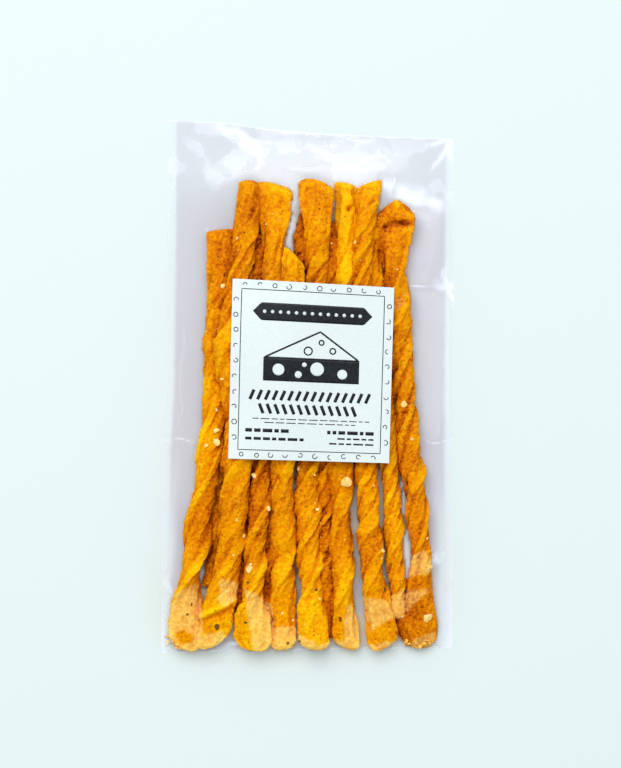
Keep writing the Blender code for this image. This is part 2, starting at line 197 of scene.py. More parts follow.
# How much paler (above 0) or browner each twist is painted at four stations from foot to head
TONE_SHIFT_STATIONS = (0.08, 0.30, 0.50, 0.93)
NO_TONE_SHIFTS = (0.0, 0.0, 0.0, 0.0)
TONE_SHIFTS = {
    "far_left": (0.04, -0.16, 0.12, -0.19),
    "left": (0.16, -0.11, -0.02, -0.12),
    "mid_left": (0.18, -0.16, 0.00, 0.03),
    "short": (0.12, 0.05, 0.02, 0.04),
    "middle": (0.12, 0.02, -0.06, -0.10),
    "mid_right": (0.10, -0.08, 0.02, 0.30),
    "right": (-0.05, -0.09, -0.02, -0.02),
    "far_right": (-0.16, -0.11, -0.10, -0.12),
    "back_right": (0.24, 0.26, 0.20, 0.16),
    "broken": (0.10, 0.10, 0.08, 0.08),
}

# Camera: straight down, at the photograph's scale and framing
PICTURE_WIDTH = 621
PICTURE_HEIGHT = 768
PIXEL = 0.43 * MM
BAG_CENTRE_PIXEL = (307.5, 386.5)
CAMERA_HEIGHT = 1.3
SENSOR = 36.0
FLOOR_SIZE = 12.0


def ease(value):
    """Smooth step from 0 to 1, with level ends."""
    value = np.clip(value, 0.0, 1.0)
    return value * value * (3.0 - 2.0 * value)


def fade(value, start, end):
    """Smooth step of a value, from 0 at start to 1 at end. Either of the two may be the greater."""
    return ease((value - start) / (end - start))


def random_at(lattice, seed):
    """Repeatable random number from -1 to 1 for each whole-number point, by mixing its digits."""
    mixed = lattice[..., 0] * 374761393 + lattice[..., 1] * 668265263 + lattice[..., 2] * 974634777
    mixed = mixed + seed * 1442695041
    mixed = (mixed ^ (mixed >> 13)) * 1274126177
    mixed = mixed ^ (mixed >> 16)
    return (mixed & 0xFFFF) / 32767.5 - 1.0


def noise(points, cell, seed):
    """Smooth random field over points (..., 3): random numbers at the corners of a lattice of boxes,
    cell metres wide, blended across each box by the smooth step in x, y and z."""
    scaled = points / np.asarray(cell)
    corner = np.floor(scaled).astype(np.int64)
    share = ease(scaled - corner)
    total = np.zeros(points.shape[:-1])
    for step in product((0, 1), repeat=3):
        weight = np.prod(np.where(np.array(step) == 1, share, 1.0 - share), axis=-1)
        total += weight * random_at(corner + np.array(step), seed)
    return total


# Layer of relief: its height and the width of its cells, both in millimetres, and its random salt
Layer = namedtuple("Layer", "height cell salt")


def relief(points, layers, seed=0):
    """Sum of layers of the random field over points: each is its height times noise in its cells."""
    return sum(layer.height * MM * noise(points, np.asarray(layer.cell) * MM, seed + layer.salt)
               for layer in layers)


# Long spot: its centre, half length and half width in millimetres, its direction in degrees, and its
# amount, which is a height in millimetres or a strength
Spot = namedtuple("Spot", "x y angle half_length half_width amount")


def along_and_aside(x, y, spot):
    """Place measured from a spot's centre along and across its direction, in half lengths and widths."""
    angle = math.radians(spot.angle)
    right, up = x - spot.x * MM, y - spot.y * MM
    along = (right * math.cos(angle) + up * math.sin(angle)) / (spot.half_length * MM)
    aside = (up * math.cos(angle) - right * math.sin(angle)) / (spot.half_width * MM)
    return along, aside


def flat_points(x, y):
    """Points at height 0 over the table, for patterns that don't depend on the height."""
    return np.stack((x, y, 0 * x), axis=-1)


def side_edges(v):
    """X of the left and right edge of the bag at height v, from 0 at the bottom to 1 at the top."""
    left = -BAG_WIDTH / 2 + np.interp(v, SIDE_STATIONS, LEFT_EDGE_DRAWN_IN)
    right = BAG_WIDTH / 2 - np.interp(v, SIDE_STATIONS, RIGHT_EDGE_DRAWN_IN)
    return left, right


def end_edges(u):
    """Y of the bottom and top edge of the bag at place u, from 0 at the left to 1 at the right."""
    bottom = -BAG_LENGTH / 2 + np.interp(u, END_STATIONS, BOTTOM_EDGE_RISE)
    top = BAG_LENGTH / 2 - np.interp(u, END_STATIONS, TOP_EDGE_DROP)
    return bottom, top


def bag_place(u, v):
    """Place on the table of a point of the film, by sliding each edge's place across to the other."""
    left, right = side_edges(v)
    bottom, top = end_edges(u)
    return left + (right - left) * u, bottom + (top - bottom) * v


def bag_coordinates(x, y):
    """Inverse of bag_place. The outline is nearly a rectangle, so a few substitutions settle it."""
    u = x / BAG_WIDTH + 0.5
    v = y / BAG_LENGTH + 0.5
    for _ in range(5):
        left, right = side_edges(v)
        bottom, top = end_edges(u)
        u = (x - left) / (right - left)
        v = (y - bottom) / (top - bottom)
    return u, v


def grid_cell(x, y, shape):
    """Row and column of the film grid's nearest point."""
    u, v = bag_coordinates(x, y)
    row = np.clip(np.rint(v * (shape[0] - 1)), 0, shape[0] - 1).astype(int)
    column = np.clip(np.rint(u * (shape[1] - 1)), 0, shape[1] - 1).astype(int)
    return row, column


def height_at(heights, x, y):
    """Height of a film grid at any place, blended between the four grid points round it."""
    u, v = bag_coordinates(x, y)
    row = np.clip(v * (heights.shape[0] - 1), 0, heights.shape[0] - 1.001)
    column = np.clip(u * (heights.shape[1] - 1), 0, heights.shape[1] - 1.001)
    i, j = row.astype(int), column.astype(int)
    a, b = row - i, column - j
    low = heights[i, j] * (1 - b) + heights[i, j + 1] * b
    high = heights[i + 1, j] * (1 - b) + heights[i + 1, j + 1] * b
    return low * (1 - a) + high * a


def smooth_through(places, values, at):
    """Smooth curve through the given values: cubic pieces, with the slope of the neighbours' chord."""
    places, values = np.asarray(places, dtype=float), np.asarray(values, dtype=float)
    slopes = np.gradient(values, places)
    i = np.clip(np.searchsorted(places, at) - 1, 0, len(places) - 2)
    span = places[i + 1] - places[i]
    share = np.clip((at - places[i]) / span, 0.0, 1.0)
    straight = values[i] + (values[i + 1] - values[i]) * ease(share)
    return straight + share * (1 - share) * span * ((1 - share) * slopes[i] - share * slopes[i + 1])


def lip_thinning(across):
    """Share of its full height that the strip's section keeps: 1 in the middle, less along both sides."""
    return 1.0 - (1.0 - LIP_THICKNESS) * fade(np.abs(across), *BELLY_REACH)


def section_round(columns):
    """Across and up, from -1 to 1, of evenly spaced points round the strip's section: a superellipse
    that keeps its full height in the middle and thins to a lip along both sides."""
    angle = np.linspace(0.0, 2 * math.pi, SECTION_POINTS)
    across = np.sign(np.cos(angle)) * np.abs(np.cos(angle)) ** SECTION_SQUARENESS
    up = np.sign(np.sin(angle)) * np.abs(np.sin(angle)) ** SECTION_SQUARENESS
    up = up * lip_thinning(across)
    step = np.hypot(np.diff(across) * SECTION_RATIO, np.diff(up))
    walked = np.concatenate(((0.0,), np.cumsum(step)))
    even = np.linspace(0.0, walked[-1], columns, endpoint=False)
    return np.interp(even, walked, across), np.interp(even, walked, up)


def turn_at(twist, y):
    """Angle of the strip's broad side at height y: upright at the crest, and less the further up."""
    return math.pi / 2 + math.pi * (twist.crest * MM - y) / (twist.half_turn * MM)


def turning(twist, y):
    """Angle of the strip at height y: it turns evenly, and slows down near each end to lie flat there,
    by a cubic that starts at the even rate and ends level at the nearest whole half turn."""
    turn = turn_at(twist, y)
    for tip, calm, outward in ((twist.foot, twist.calm[0], -1), (twist.head, twist.calm[1], 1)):
        start = (tip - outward * calm) * MM
        share = np.clip((y - start) * outward / (calm * MM), 0.0, 1.0)
        begin = turn_at(twist, start)
        lead = -outward * math.pi * calm / twist.half_turn
        flat = math.pi * round((begin + lead / 2) / math.pi)
        eased = begin + (flat - begin) * ease(share) + lead * share * (1 - share) ** 2
        turn = np.where(share > 0, eased, turn)
    return turn


def twist_skin(twist, rows, columns, seed=None):
    """Points of a twist's skin, with rows along it and columns round it, and its axis at height 0.

    The section is full in the middle, with a thinner lip along both sides, and curled like a gutter. It
    turns clockwise on its way up, flares towards both ends, lies flat there, and closes with a round
    curve, which slants. With a seed the strip is also uneven: its lips swell and fade, its two edges
    wander in and out, its thickness varies, its turn runs fast and slow, and its tips are cut askew.
    """
    length = (twist.head - twist.foot) * MM
    end_rows = END_ROWS if seed is None else TWIST_END_ROWS
    quarter = 1.0 - np.cos(np.linspace(0.0, math.pi / 2, end_rows))
    foot_tip, head_tip = twist.tips[0] * MM, twist.tips[1] * MM
    body = np.linspace(foot_tip, length - head_tip, rows)[1:-1]
    distance = np.concatenate((foot_tip * quarter, body, length - head_tip * quarter[::-1]))[:, None]
    station = distance / length
    across, up = (line[None, :] for line in section_round(columns))

    foot_flare = np.exp(-(distance / FLARE_LENGTH) ** FLARE_POWER)
    head_flare = np.exp(-((length - distance) / FLARE_LENGTH) ** FLARE_POWER)
    foot_width, low_width, high_width, head_width = (width * MM for width in twist.widths)
    body_width = np.interp(station, BODY_STATIONS, (low_width, high_width))
    width = body_width + (foot_width - body_width) * foot_flare + (head_width - body_width) * head_flare
    low_thickness, high_thickness = (thickness * MM for thickness in twist.thickness)
    thickness = np.interp(station, BODY_STATIONS, (low_thickness, high_thickness))
    thickness = thickness + (PADDLE_THICKNESS - thickness) * (foot_flare + head_flare)
    to_full = 1.0 - np.clip(np.minimum(distance / foot_tip, (length - distance) / head_tip), 0.0, 1.0)
    closing = (1.0 - to_full ** END_BLUNTNESS) ** (1.0 / END_BLUNTNESS)

    def wander(wave, salt):
        line = np.stack((distance, 0 * distance, 0 * distance), axis=-1)
        return noise(line, wave, seed * 20 + salt)

    if seed is not None:
        swelling = np.clip(LIP_SWELLING + LIP_WANDER * wander(LIP_WAVE, 6), 0.0, 1.0)
        up = up * lip_thinning(across) ** -swelling
    section_x = width / 2 * closing * across
    section_z = thickness / 2 * closing * up
    section_z = section_z + twist.curl * width * closing * (across ** 2 - CURL_LEVEL)
    y = twist.foot * MM + distance
    turn = turning(twist, y)

    if seed is not None:
        edge = np.where(across > 0, wander(EDGE_WAVE, 1), wander(EDGE_WAVE, 2))
        ragged = np.where(across > 0, wander(RAGGED_WAVE, 7), wander(RAGGED_WAVE, 8))
        section_x = section_x * (1.0 + (EDGE_WANDER * edge + EDGE_RAGGED * ragged) * np.abs(across))
        section_z = section_z * (RISEN + THICKNESS_WANDER * wander(THICKNESS_WAVE, 3))
        calm = np.clip(1.0 - foot_flare - head_flare, 0.0, 1.0)
        turn = turn + TURN_WANDER * wander(TURN_WAVE, 4) * calm
        askew = TIP_SLANT * wander(TIP_WAVE, 5) * across
        y = y + askew * (foot_flare + head_flare) * closing

    axis_x = smooth_through(ROUTE_HEIGHTS, twist.route, (twist.foot * MM + distance) / MM) * MM
    aside = section_x * np.cos(turn) - section_z * np.sin(turn)
    y = y + (twist.slant[0] * foot_flare + twist.slant[1] * head_flare) * MM * aside / width
    x = axis_x + aside
    z = section_x * np.sin(turn) + section_z * np.cos(turn)
    strip = np.stack((section_x, y + 0.0 * x, section_z), axis=-1)
    return np.stack((x, y + 0.0 * x, z), axis=-1), station[:, 0], strip


def resting_curve(distance, needed):
    """Height of a twist's axis all along it, where it lies on the needed heights and bends a little.

    The needed heights are averaged under a bell curve, raised where that falls short of them, and
    averaged again, a few times. At last the whole curve is lifted until it clears them all.
    """
    even = np.arange(distance[0], distance[-1], CURVE_STEP)
    floor = np.interp(even, distance, needed)
    reach = np.arange(-3 * BENDING_LENGTH, 3 * BENDING_LENGTH, CURVE_STEP)
    bell = np.exp(-(reach / BENDING_LENGTH) ** 2)
    curve = floor
    for _ in range(BENDING_ROUNDS):
        wide = np.pad(np.maximum(curve, floor), (len(bell) // 2, (len(bell) - 1) // 2), mode="edge")
        curve = np.convolve(wide, bell / bell.sum(), mode="valid")
    return np.interp(distance, even, curve + np.maximum(floor - curve, 0.0).max())


def resting_curves():
    """Height along every twist, each laid on the table and on those before it."""
    carrying = np.zeros(PILE_SHAPE)
    curves = {}
    for twist in TWISTS:
        skin, station, _ = twist_skin(twist, *PILE_SKIN)
        x, y, z = skin[..., 0], skin[..., 1], skin[..., 2]
        row, column = grid_cell(x, y, PILE_SHAPE)
        from_side = np.minimum(x - x.min(axis=1, keepdims=True), x.max(axis=1, keepdims=True) - x)
        bears = from_side > np.minimum(SIDE_CONTACT, from_side.max(axis=1, keepdims=True) / 2)
        below = np.where(bears, np.maximum(carrying[row, column] - PRESSED_IN, 0.0), 0.0)
        distance = station * (twist.head - twist.foot) * MM
        axis = resting_curve(distance, (below + BACK_FILM - z).max(axis=1))
        top = z + axis[:, None]
        np.maximum.at(carrying, (row[bears], column[bears]), top[bears])
        curves[twist.name] = distance, axis
    return curves


def grid_normals(points):
    """Unit normals of a skin that is closed round its columns, from its two directions' differences."""
    along = np.gradient(points, axis=0)
    around = np.roll(points, -1, axis=1) - np.roll(points, 1, axis=1)
    normal = np.cross(along, around)
    return normal / np.maximum(np.linalg.norm(normal, axis=-1, keepdims=True), 1e-12)


# Relief of the baked dough. Coarse: lumps, blisters and streaks along the strip. Fine: coarse and fine
# grain. Pits open where their noise is high, and cracks along lines where the vein's noise is near 0.
COARSE_DOUGH = (Layer(0.42, 6.0, 1), Layer(0.24, 2.6, 2), Layer(0.14, (1.2, 8.0, 1.2), 5))
FINE_DOUGH = (Layer(0.18, 1.15, 3), Layer(0.16, 0.75, 4))
PIT_DEPTH = 0.28 * MM
PIT_CELL = 1.4 * MM
PIT_LEVELS = (0.48, 0.78)
CRACK_DEPTH = 0.35 * MM
CRACK_CELL = (4.0 * MM, 10.0 * MM, 4.0 * MM)
CRACK_WIDTH = 0.06
CRACKED_CELL = 9.0 * MM
CRACKED_LEVELS = (0.35, 0.65)


def dough_relief(strip, seed):
    """Height of the baked dough's surface over its smooth form, in metres, in a coarse part of lumps,
    blisters and streaks, and a fine part of grain, small pits and here and there a crack."""
    pits = -PIT_DEPTH * fade(noise(strip, PIT_CELL, seed + 8), *PIT_LEVELS)
    vein = np.abs(noise(strip, CRACK_CELL, seed + 6))
    cracked = fade(noise(strip, CRACKED_CELL, seed + 7), *CRACKED_LEVELS)
    cracks = -CRACK_DEPTH * np.exp(-(vein / CRACK_WIDTH) ** 2) * cracked
    return relief(strip, COARSE_DOUGH, seed), relief(strip, FINE_DOUGH, seed) + pits + cracks


# Marks of single twists, as spots: a ridge or, where its amount is below 0, a furrow or hole
MARKS = {
    "far_right": (
        Spot(27.6, 64.0, 60.0, 3.6, 2.4, 2.8),
        Spot(41.6, 70.6, -4.0, 5.0, 1.2, -1.9),
        Spot(34.4, 69.2, 32.0, 3.2, 1.1, -1.2),
        Spot(42.4, 66.8, 18.0, 4.5, 1.7, 0.8),
        Spot(38.6, 79.4, 90.0, 3.0, 2.0, 1.4),
        Spot(45.0, 77.0, -35.0, 3.4, 2.0, -1.1),
        Spot(31.6, 76.2, 42.0, 3.4, 2.0, -0.7),
    ),
    "left": (
        Spot(-38.9, -95.4, 24.0, 9.0, 1.2, 1.3),
        Spot(-38.0, -97.8, 24.0, 8.0, 1.1, -1.0),
        Spot(-23.5, 74.5, 62.0, 5.0, 1.1, -1.1),
    ),
    "mid_right": (Spot(18.3, 76.8, 30.0, 1.5, 1.0, -2.8),),
    "mid_left": (Spot(-12.0, 84.0, -15.0, 6.0, 1.4, 0.5),),
    "right": (Spot(28.5, 80.0, 40.0, 5.0, 1.0, -0.8),),
    "middle": (Spot(1.0, -101.0, 75.0, 7.0, 1.2, 0.7),),
}


def marks_on(twist, skin):
    """Rise of the twist's marks at each point: for each, a hill that falls off as a bell both ways."""
    total = np.zeros(skin.shape[:-1])
    for mark in MARKS.get(twist.name, ()):
        along, aside = along_and_aside(skin[..., 0], skin[..., 1], mark)
        total += mark.amount * MM * np.exp(-along ** 2 - aside ** 2)
    return total


def closed_skin_faces(rows, columns):
    """Quads round a skin, and a fan of triangles to the pole before its first and after its last ring."""
    ring = np.arange(columns)
    after = (ring + 1) % columns
    start = np.arange(rows - 1)[:, None] * columns
    above = start + columns
    quads = np.stack((start + ring, start + after, above + after, above + ring), axis=-1)
    first, last = rows * columns, rows * columns + 1
    last_ring = (rows - 1) * columns
    foot = np.stack((np.full(columns, first), after, ring), axis=-1)
    head = np.stack((np.full(columns, last), last_ring + ring, last_ring + after), axis=-1)
    return quads.reshape(-1, 4).tolist() + foot.tolist() + head.tolist()


def new_piece(name, points, faces, look, attributes=None):
    """Smooth mesh object at the origin, riding on the part, with optional values for each point."""
    mesh = bpy.data.meshes.new(name)
    mesh.from_pydata(np.asarray(points).reshape(-1, 3).tolist(), [], faces)
    for key, values in (attributes or {}).items():
        layer = mesh.attributes.new(key, "FLOAT", "POINT")
        layer.data.foreach_set("value", np.asarray(values, dtype=np.float32).ravel())
    mesh.materials.append(look)
    mesh.shade_smooth()
    mesh.update()
    made = bpy.data.objects.new(name, mesh)
    bpy.context.scene.collection.objects.link(made)
    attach(made, "root")
    return made


def shaped_twist(twist, number, curve):
    """A twist's skin with all its relief, and its toasting with painted shade and light, from 0 in deep pits
    to 1 on pale crests: painted shade in the relief's hollows and in the valley beside the lip, painted light
    on the relief's crests and at the lip's edge, a paler or browner tone set for each twist at four stations,
    painted shade on the twists at the back, and slow changes of toasting along the strip."""
    rows, columns = TWIST_SKIN
    twist = twist._replace(head=LONGER_HEADS.get(twist.name, twist.head))
    skin, station, strip = twist_skin(twist, rows, columns, seed=number)
    distance = station * (twist.head - twist.foot) * MM
    skin[..., 2] += np.interp(distance, *curve)[:, None]
    coarse, fine = dough_relief(strip, number * 100)
    from_end = np.minimum(station, 1.0 - station)[:, None]
    marks = marks_on(twist, skin)
    rise = (coarse + fine) * fade(from_end, *RELIEF_STARTS) + marks
    skin = skin + grid_normals(skin) * rise[..., None]
    skin[..., 2] = np.maximum(skin[..., 2], LOWEST_POINT)
    half_width = np.abs(strip[..., 0]).max(axis=1, keepdims=True)
    across = np.abs(strip[..., 0]) / np.maximum(half_width, 1.0 * MM)
    # Toasting with painted shade in the relief's hollows and painted light on its crests
    toast_and_shade = MEAN_TOAST + (COARSE_TOAST_AND_SHADE * coarse + FINE_TOAST_AND_SHADE * fine + MARK_TOAST_AND_SHADE * marks) / MM
    # Painted shade in the valley beside the lip and a painted highlight at its edge
    toast_and_shade = toast_and_shade + np.interp(across, *SHADE_AND_LIGHT_ACROSS) * fade(from_end, *ACROSS_STARTS)
    toast_and_shade = toast_and_shade + SLOW_TOAST * noise(strip, SLOW_TOAST_CELL, number * 100 + 9)
    tone_shift = TONE_SHIFTS.get(twist.name, NO_TONE_SHIFTS)
    toast_and_shade = toast_and_shade + np.interp(station, TONE_SHIFT_STATIONS, tone_shift)[:, None]
    # Painted shade: the twists at the back lie under the others
    if twist.name.startswith("back"):
        toast_and_shade = toast_and_shade - BACK_SHADE
    return skin, toast_and_shade


def make_twist(twist, skin, toast_and_shade, around, look):
    """One twist as a closed mesh. It is painted darker, as shade, the deeper it lies below its
    neighbours' mean height, around."""
    depth = height_at(around, skin[..., 0], skin[..., 1]) - skin[..., 2]
    # Painted shade: darker the deeper it lies below its neighbours
    toast_and_shade = toast_and_shade - DEPTH_SHADE * np.clip(depth / MM, *DEPTH_LIMITS)
    inner = skin[1:-1]
    points = np.concatenate((inner.reshape(-1, 3), skin[:1].mean(axis=1), skin[-1:].mean(axis=1)))
    values = np.concatenate((toast_and_shade[1:-1].ravel(), (POLE_TOAST, POLE_TOAST)))
    # Painted reflection, a pale haze over the feet
    painted = {"toast_and_shade": values, "painted_reflection": reflected_haze_at(points[:, 0], points[:, 1])}
    faces = closed_skin_faces(*inner.shape[:2])
    piece = new_piece("twist_" + twist.name, points, faces, look, painted)
    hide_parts("bag")


def raised(heights, points):
    """Film grid of heights, lifted to the given surface points in their own cells."""
    row, column = grid_cell(points[..., 0], points[..., 1], heights.shape)
    lifted = heights.copy()
    np.maximum.at(lifted, (row, column), points[..., 2])
    return lifted


def spread(heights):
    """Each grid point takes the greatest height among itself and its neighbours."""
    wide = np.pad(heights, 1, mode="edge")
    rows, columns = heights.shape
    return np.max([wide[i:i + rows, j:j + columns] for i, j in product(range(3), repeat=2)], axis=0)


def smoothed(height, rounds):
    """Heights averaged with their neighbours, again and again, with the border repeated outwards."""
    for _ in range(rounds):
        wide = np.pad(height, 1, mode="edge")
        sides = wide[:-2, 1:-1] + wide[2:, 1:-1] + wide[1:-1, :-2] + wide[1:-1, 2:]
        height = (4 * height + sides) / 8
    return height


def draped(obstacle):
    """Slack film over an obstacle: it rests on it, or hangs FILM_SAG below its neighbours' mean."""
    film = np.maximum(obstacle, FILM_RIM)
    film[0, :] = film[-1, :] = FILM_RIM
    film[:, :SEAM_CELLS] = film[:, -SEAM_CELLS:] = FILM_RIM
    inner = slice(SEAM_CELLS, -SEAM_CELLS)
    leftwards = slice(SEAM_CELLS - 1, -SEAM_CELLS - 1)
    rightwards = slice(SEAM_CELLS + 1, -SEAM_CELLS + 1)
    moving = film[1:-1, inner]
    held_up = moving.copy()
    for _ in range(DRAPE_ROUNDS):
        total = film[:-2, inner] + film[2:, inner] + film[1:-1, leftwards] + film[1:-1, rightwards]
        moving[:] = np.maximum(total / 4 - FILM_SAG, held_up)
    return film


def label_place(s, t):
    """Place over the table of a point of the label, from its four corners."""
    weights = {
        "bottom left": (1 - s) * (1 - t),
        "bottom right": s * (1 - t),
        "top left": (1 - s) * t,
        "top right": s * t,
    }
    x = sum(weight * LABEL_CORNERS[name][0] for name, weight in weights.items())
    y = sum(weight * LABEL_CORNERS[name][1] for name, weight in weights.items())
    return x, y


def under_label(x, y):
    """True where a point lies under the label or within its margin."""
    corner = LABEL_CORNERS
    height = (corner["bottom left"][1], corner["top left"][1])
    left = np.interp(y, height, (corner["bottom left"][0], corner["top left"][0])) - LABEL_MARGIN
    right = np.interp(y, height, (corner["bottom right"][0], corner["top right"][0])) + LABEL_MARGIN
    width = (corner["bottom left"][0], corner["bottom right"][0])
    bottom = np.interp(x, width, (corner["bottom left"][1], corner["bottom right"][1])) - LABEL_MARGIN
    top = np.interp(x, width, (corner["top left"][1], corner["top right"][1])) + LABEL_MARGIN
    return (x > left) & (x < right) & (y > bottom) & (y < top)


def film_places():
    """X and y of every point of the film grid."""
    v, u = np.meshgrid(np.linspace(0, 1, FILM_SHAPE[0]), np.linspace(0, 1, FILM_SHAPE[1]), indexing="ij")
    return bag_place(u, v)


def film_and_label(obstacle):
    """Heights of the front film and of the label's underside, in the part's way, and where the label lies."""
    loose_film = draped(obstacle)
    sheet = smoothed(loose_film, STIFFNESS_ROUNDS)
    for _ in range(STIFFNESS_REPEATS):
        sheet = smoothed(np.maximum(sheet, loose_film), STIFFNESS_ROUNDS)
    covered = under_label(*film_places())
    sheet = sheet + (loose_film - sheet)[covered].max()
    film = draped(np.where(covered, sheet, obstacle))
    film[covered] = sheet[covered]
    return film, sheet + LABEL_GAP, covered


# Folds of the film, as spots, and the ranges from which the small random ones are drawn
NAMED_FOLDS = [Spot(*row) for row in (
    (57.0, 47.0, 65.0, 8.0, 1.6, 1.1), (52.0, 43.5, 20.0, 9.0, 1.4, 0.9),
    (61.0, 42.0, -50.0, 6.0, 1.2, 0.8), (56.0, 33.5, 2.0, 16.0, 2.4, 0.6),
    (56.0, 25.0, -2.0, 16.0, 2.2, 0.5), (0.0, -23.4, 0.5, 90.0, 0.9, 0.35),
    (-54.5, -20.0, 88.0, 24.0, 1.5, 0.5), (36.8, 86.0, 82.0, 6.0, 1.0, 0.8),
    (-33.0, 106.0, -37.0, 17.0, 2.5, 1.0), (57.0, 100.0, -60.0, 9.0, 1.2, 0.8),
    (54.0, 104.0, 35.0, 6.0, 1.0, 0.6), (48.0, 78.0, -28.0, 10.0, 2.0, 0.9),
)]
RANDOM_FOLDS = 70
RANDOM_FOLD_RANGES = ((-62, 62), (-112, 112), (0, 180), (3, 11), (0.5, 1.4), (-0.22, 0.30))
FILM_WAVES = (Layer(0.55, 21.0, 901), Layer(0.16, 8.0, 902))


def fold_height(x, y, fold):
    """A tent-like ridge with a sharp crest, which fades out towards both ends."""
    along, aside = along_and_aside(x, y, fold)
    return fold.amount * MM * np.exp(-np.abs(aside)) * np.clip(1.0 - along ** 2, 0.0, 1.0)


def film_wrinkles(x, y):
    """Wrinkles of the front film: broad waves, the named folds and many small random ones."""
    waves = relief(flat_points(x, y), FILM_WAVES)
    total = waves + sum(fold_height(x, y, fold) for fold in NAMED_FOLDS)
    draw = np.random.default_rng(7)
    for _ in range(RANDOM_FOLDS):
        fold = Spot(*(draw.uniform(low, high) for low, high in RANDOM_FOLD_RANGES))
        total = total + fold_height(x, y, fold)
    return total


# Painted highlights of the bare film, as spots: white streaks and patches where its creases catch the light
HIGHLIGHT_SPOTS = [Spot(*row) for row in (
    (-33.8, 111.2, -22.0, 6.0, 2.2, 0.8), (-27.0, 107.2, -38.0, 5.5, 2.0, 0.9),
    (-22.8, 102.4, -62.0, 5.0, 1.6, 0.8), (-20.6, 97.6, -75.0, 4.0, 1.6, 0.6),
    (-3.2, 110.0, -9.0, 9.0, 0.5, 0.7), (20.0, 107.2, -6.0, 12.0, 0.6, 0.5),
    (7.0, 100.4, -28.0, 8.0, 2.8, 0.5), (26.0, 99.0, 32.0, 7.0, 1.0, 0.4),
    (56.5, 105.8, 12.0, 4.5, 0.9, 0.8), (58.0, 100.0, 62.0, 7.0, 1.0, 0.8),
    (61.0, 103.0, -80.0, 5.0, 0.8, 0.5), (37.1, 86.2, 88.0, 4.2, 0.4, 0.9),
    (33.6, 86.2, -25.0, 4.0, 3.0, 0.9), (45.0, 82.6, -20.0, 8.5, 3.6, 1.0),
    (53.5, 79.8, -24.0, 6.5, 2.6, 0.9), (59.0, 47.2, 78.0, 4.0, 1.0, 1.0),
    (59.2, 43.8, 8.0, 4.0, 2.4, 1.0), (62.2, 40.6, -60.0, 4.2, 1.3, 1.0),
    (50.0, 43.6, 3.0, 7.0, 0.45, 0.7), (-55.8, -23.4, 0.0, 7.0, 0.30, 0.6),
    (56.0, -23.4, 0.0, 6.0, 0.30, 0.6), (55.6, -73.0, -50.0, 4.2, 2.2, 0.7),
    (-60.0, -86.6, -55.0, 3.4, 1.4, 0.6), (-54.4, 2.0, 88.0, 26.0, 0.35, 0.25),
    (-30.0, -110.6, 18.0, 6.0, 0.8, 0.8), (-20.0, -111.0, 10.0, 5.0, 0.7, 0.6),
    (34.0, -111.0, -12.0, 5.0, 0.8, 0.6), (-59.0, 78.0, 84.0, 16.0, 0.5, 0.25),
    (10.0, 93.6, 2.0, 20.0, 1.8, 0.35), (-32.0, 90.6, 16.0, 7.0, 1.4, 0.35),
    (-7.0, 72.0, 84.0, 14.0, 2.2, 0.55), (50.0, 73.0, -18.0, 5.0, 3.0, 0.35),
    (41.4, -64.0, 94.0, 31.0, 2.4, 0.50),
)]
HIGHLIGHT_EDGES = (Layer(1.2, 5.0, 905),)


def painted_highlights(x, y):
    """How strong the film's painted highlights, its white streaks and patches, are at a place, from 0 to 1:
    each falls off as a flat bell, with edges that a coarse noise makes ragged."""
    flat = flat_points(x, y)
    right, up = x + relief(flat, HIGHLIGHT_EDGES), y + relief(flat, HIGHLIGHT_EDGES, 1)
    total = np.zeros(x.shape)
    for spot in HIGHLIGHT_SPOTS:
        along, aside = along_and_aside(right, up, spot)
        total = np.maximum(total, spot.amount * np.exp(-along ** 4 - aside ** 2))
    return total


def sheet_faces(index, upwards):
    """Quads over a grid of point numbers, facing up or down."""
    quads = np.stack((index[:-1, :-1], index[:-1, 1:], index[1:, 1:], index[1:, :-1]), axis=-1)
    quads = quads.reshape(-1, 4)
    return (quads if upwards else quads[:, ::-1]).tolist()


# Painted reflection on the film over the feet of the twists, a pale haze: patches with straight sides, by
# their corners in millimetres, anticlockwise, and patches within them that stay clear
HAZY = (
    ((-64, -116), (-46, -116), (-45.5, -92), (-47.5, -85), (-54.5, -87), (-63, -100)),
    ((-38.5, -91), (-35.5, -95), (-30, -91.5), (-30.5, -84), (-36.8, -82.5)),
    ((-50.5, -116), (-36.5, -116), (-32.5, -109), (-36.8, -105.8), (-48, -107.8)),
    ((-24.7, -113.5), (-19.5, -116), (-14.5, -110), (-15.2, -95), (-21.5, -89), (-27.8, -87), (-26, -97)),
    ((-17.8, -117), (-4.1, -117), (-4.1, -103.4), (-17.8, -104.3)),
    ((-5, -117), (4.5, -117), (4.5, -111.2), (-5, -106)),
    ((4.5, -117), (12.3, -117), (12.3, -109.4), (4.5, -111.2)),
    ((16.1, -116), (23.5, -116), (23, -101), (17.9, -93), (16.1, -100)),
    ((11.4, -117), (23.4, -117), (23.4, -109), (11.4, -110.3)),
    ((27.3, -105.2), (38.5, -98.7), (33.8, -91.8), (23.9, -91)),
    ((26.9, -117), (38.9, -117), (38.9, -109), (26.9, -111.6)),
    ((35.5, -96), (39.8, -100.4), (44.9, -94.4), (43.6, -87.1), (35.5, -90.5)),
    ((43.6, -82.3), (53.5, -80), (54.4, -77.2), (50, -70.3), (44.9, -72.9)),
    ((37.2, -97), (39, -98.7), (51.8, -89.2), (52.7, -86.7), (42.8, -88.4)),
    ((44.9, -116), (54.5, -116), (55.3, -105.6), (44.9, -109)),
)
CLEAR_WITHIN = (
    ((-56.5, -110.5), (-50.5, -111.5), (-49, -107.4), (-53, -104.8), (-57, -106.4)),
    ((-33, -116), (-25.2, -113), (-25.8, -100), (-30, -95), (-34, -100)),
)
HAZE_EDGE = 1.3 * MM
HAZE_RAGGED = (Layer(0.6, 3.4, 77), Layer(0.4, 1.3, 79))
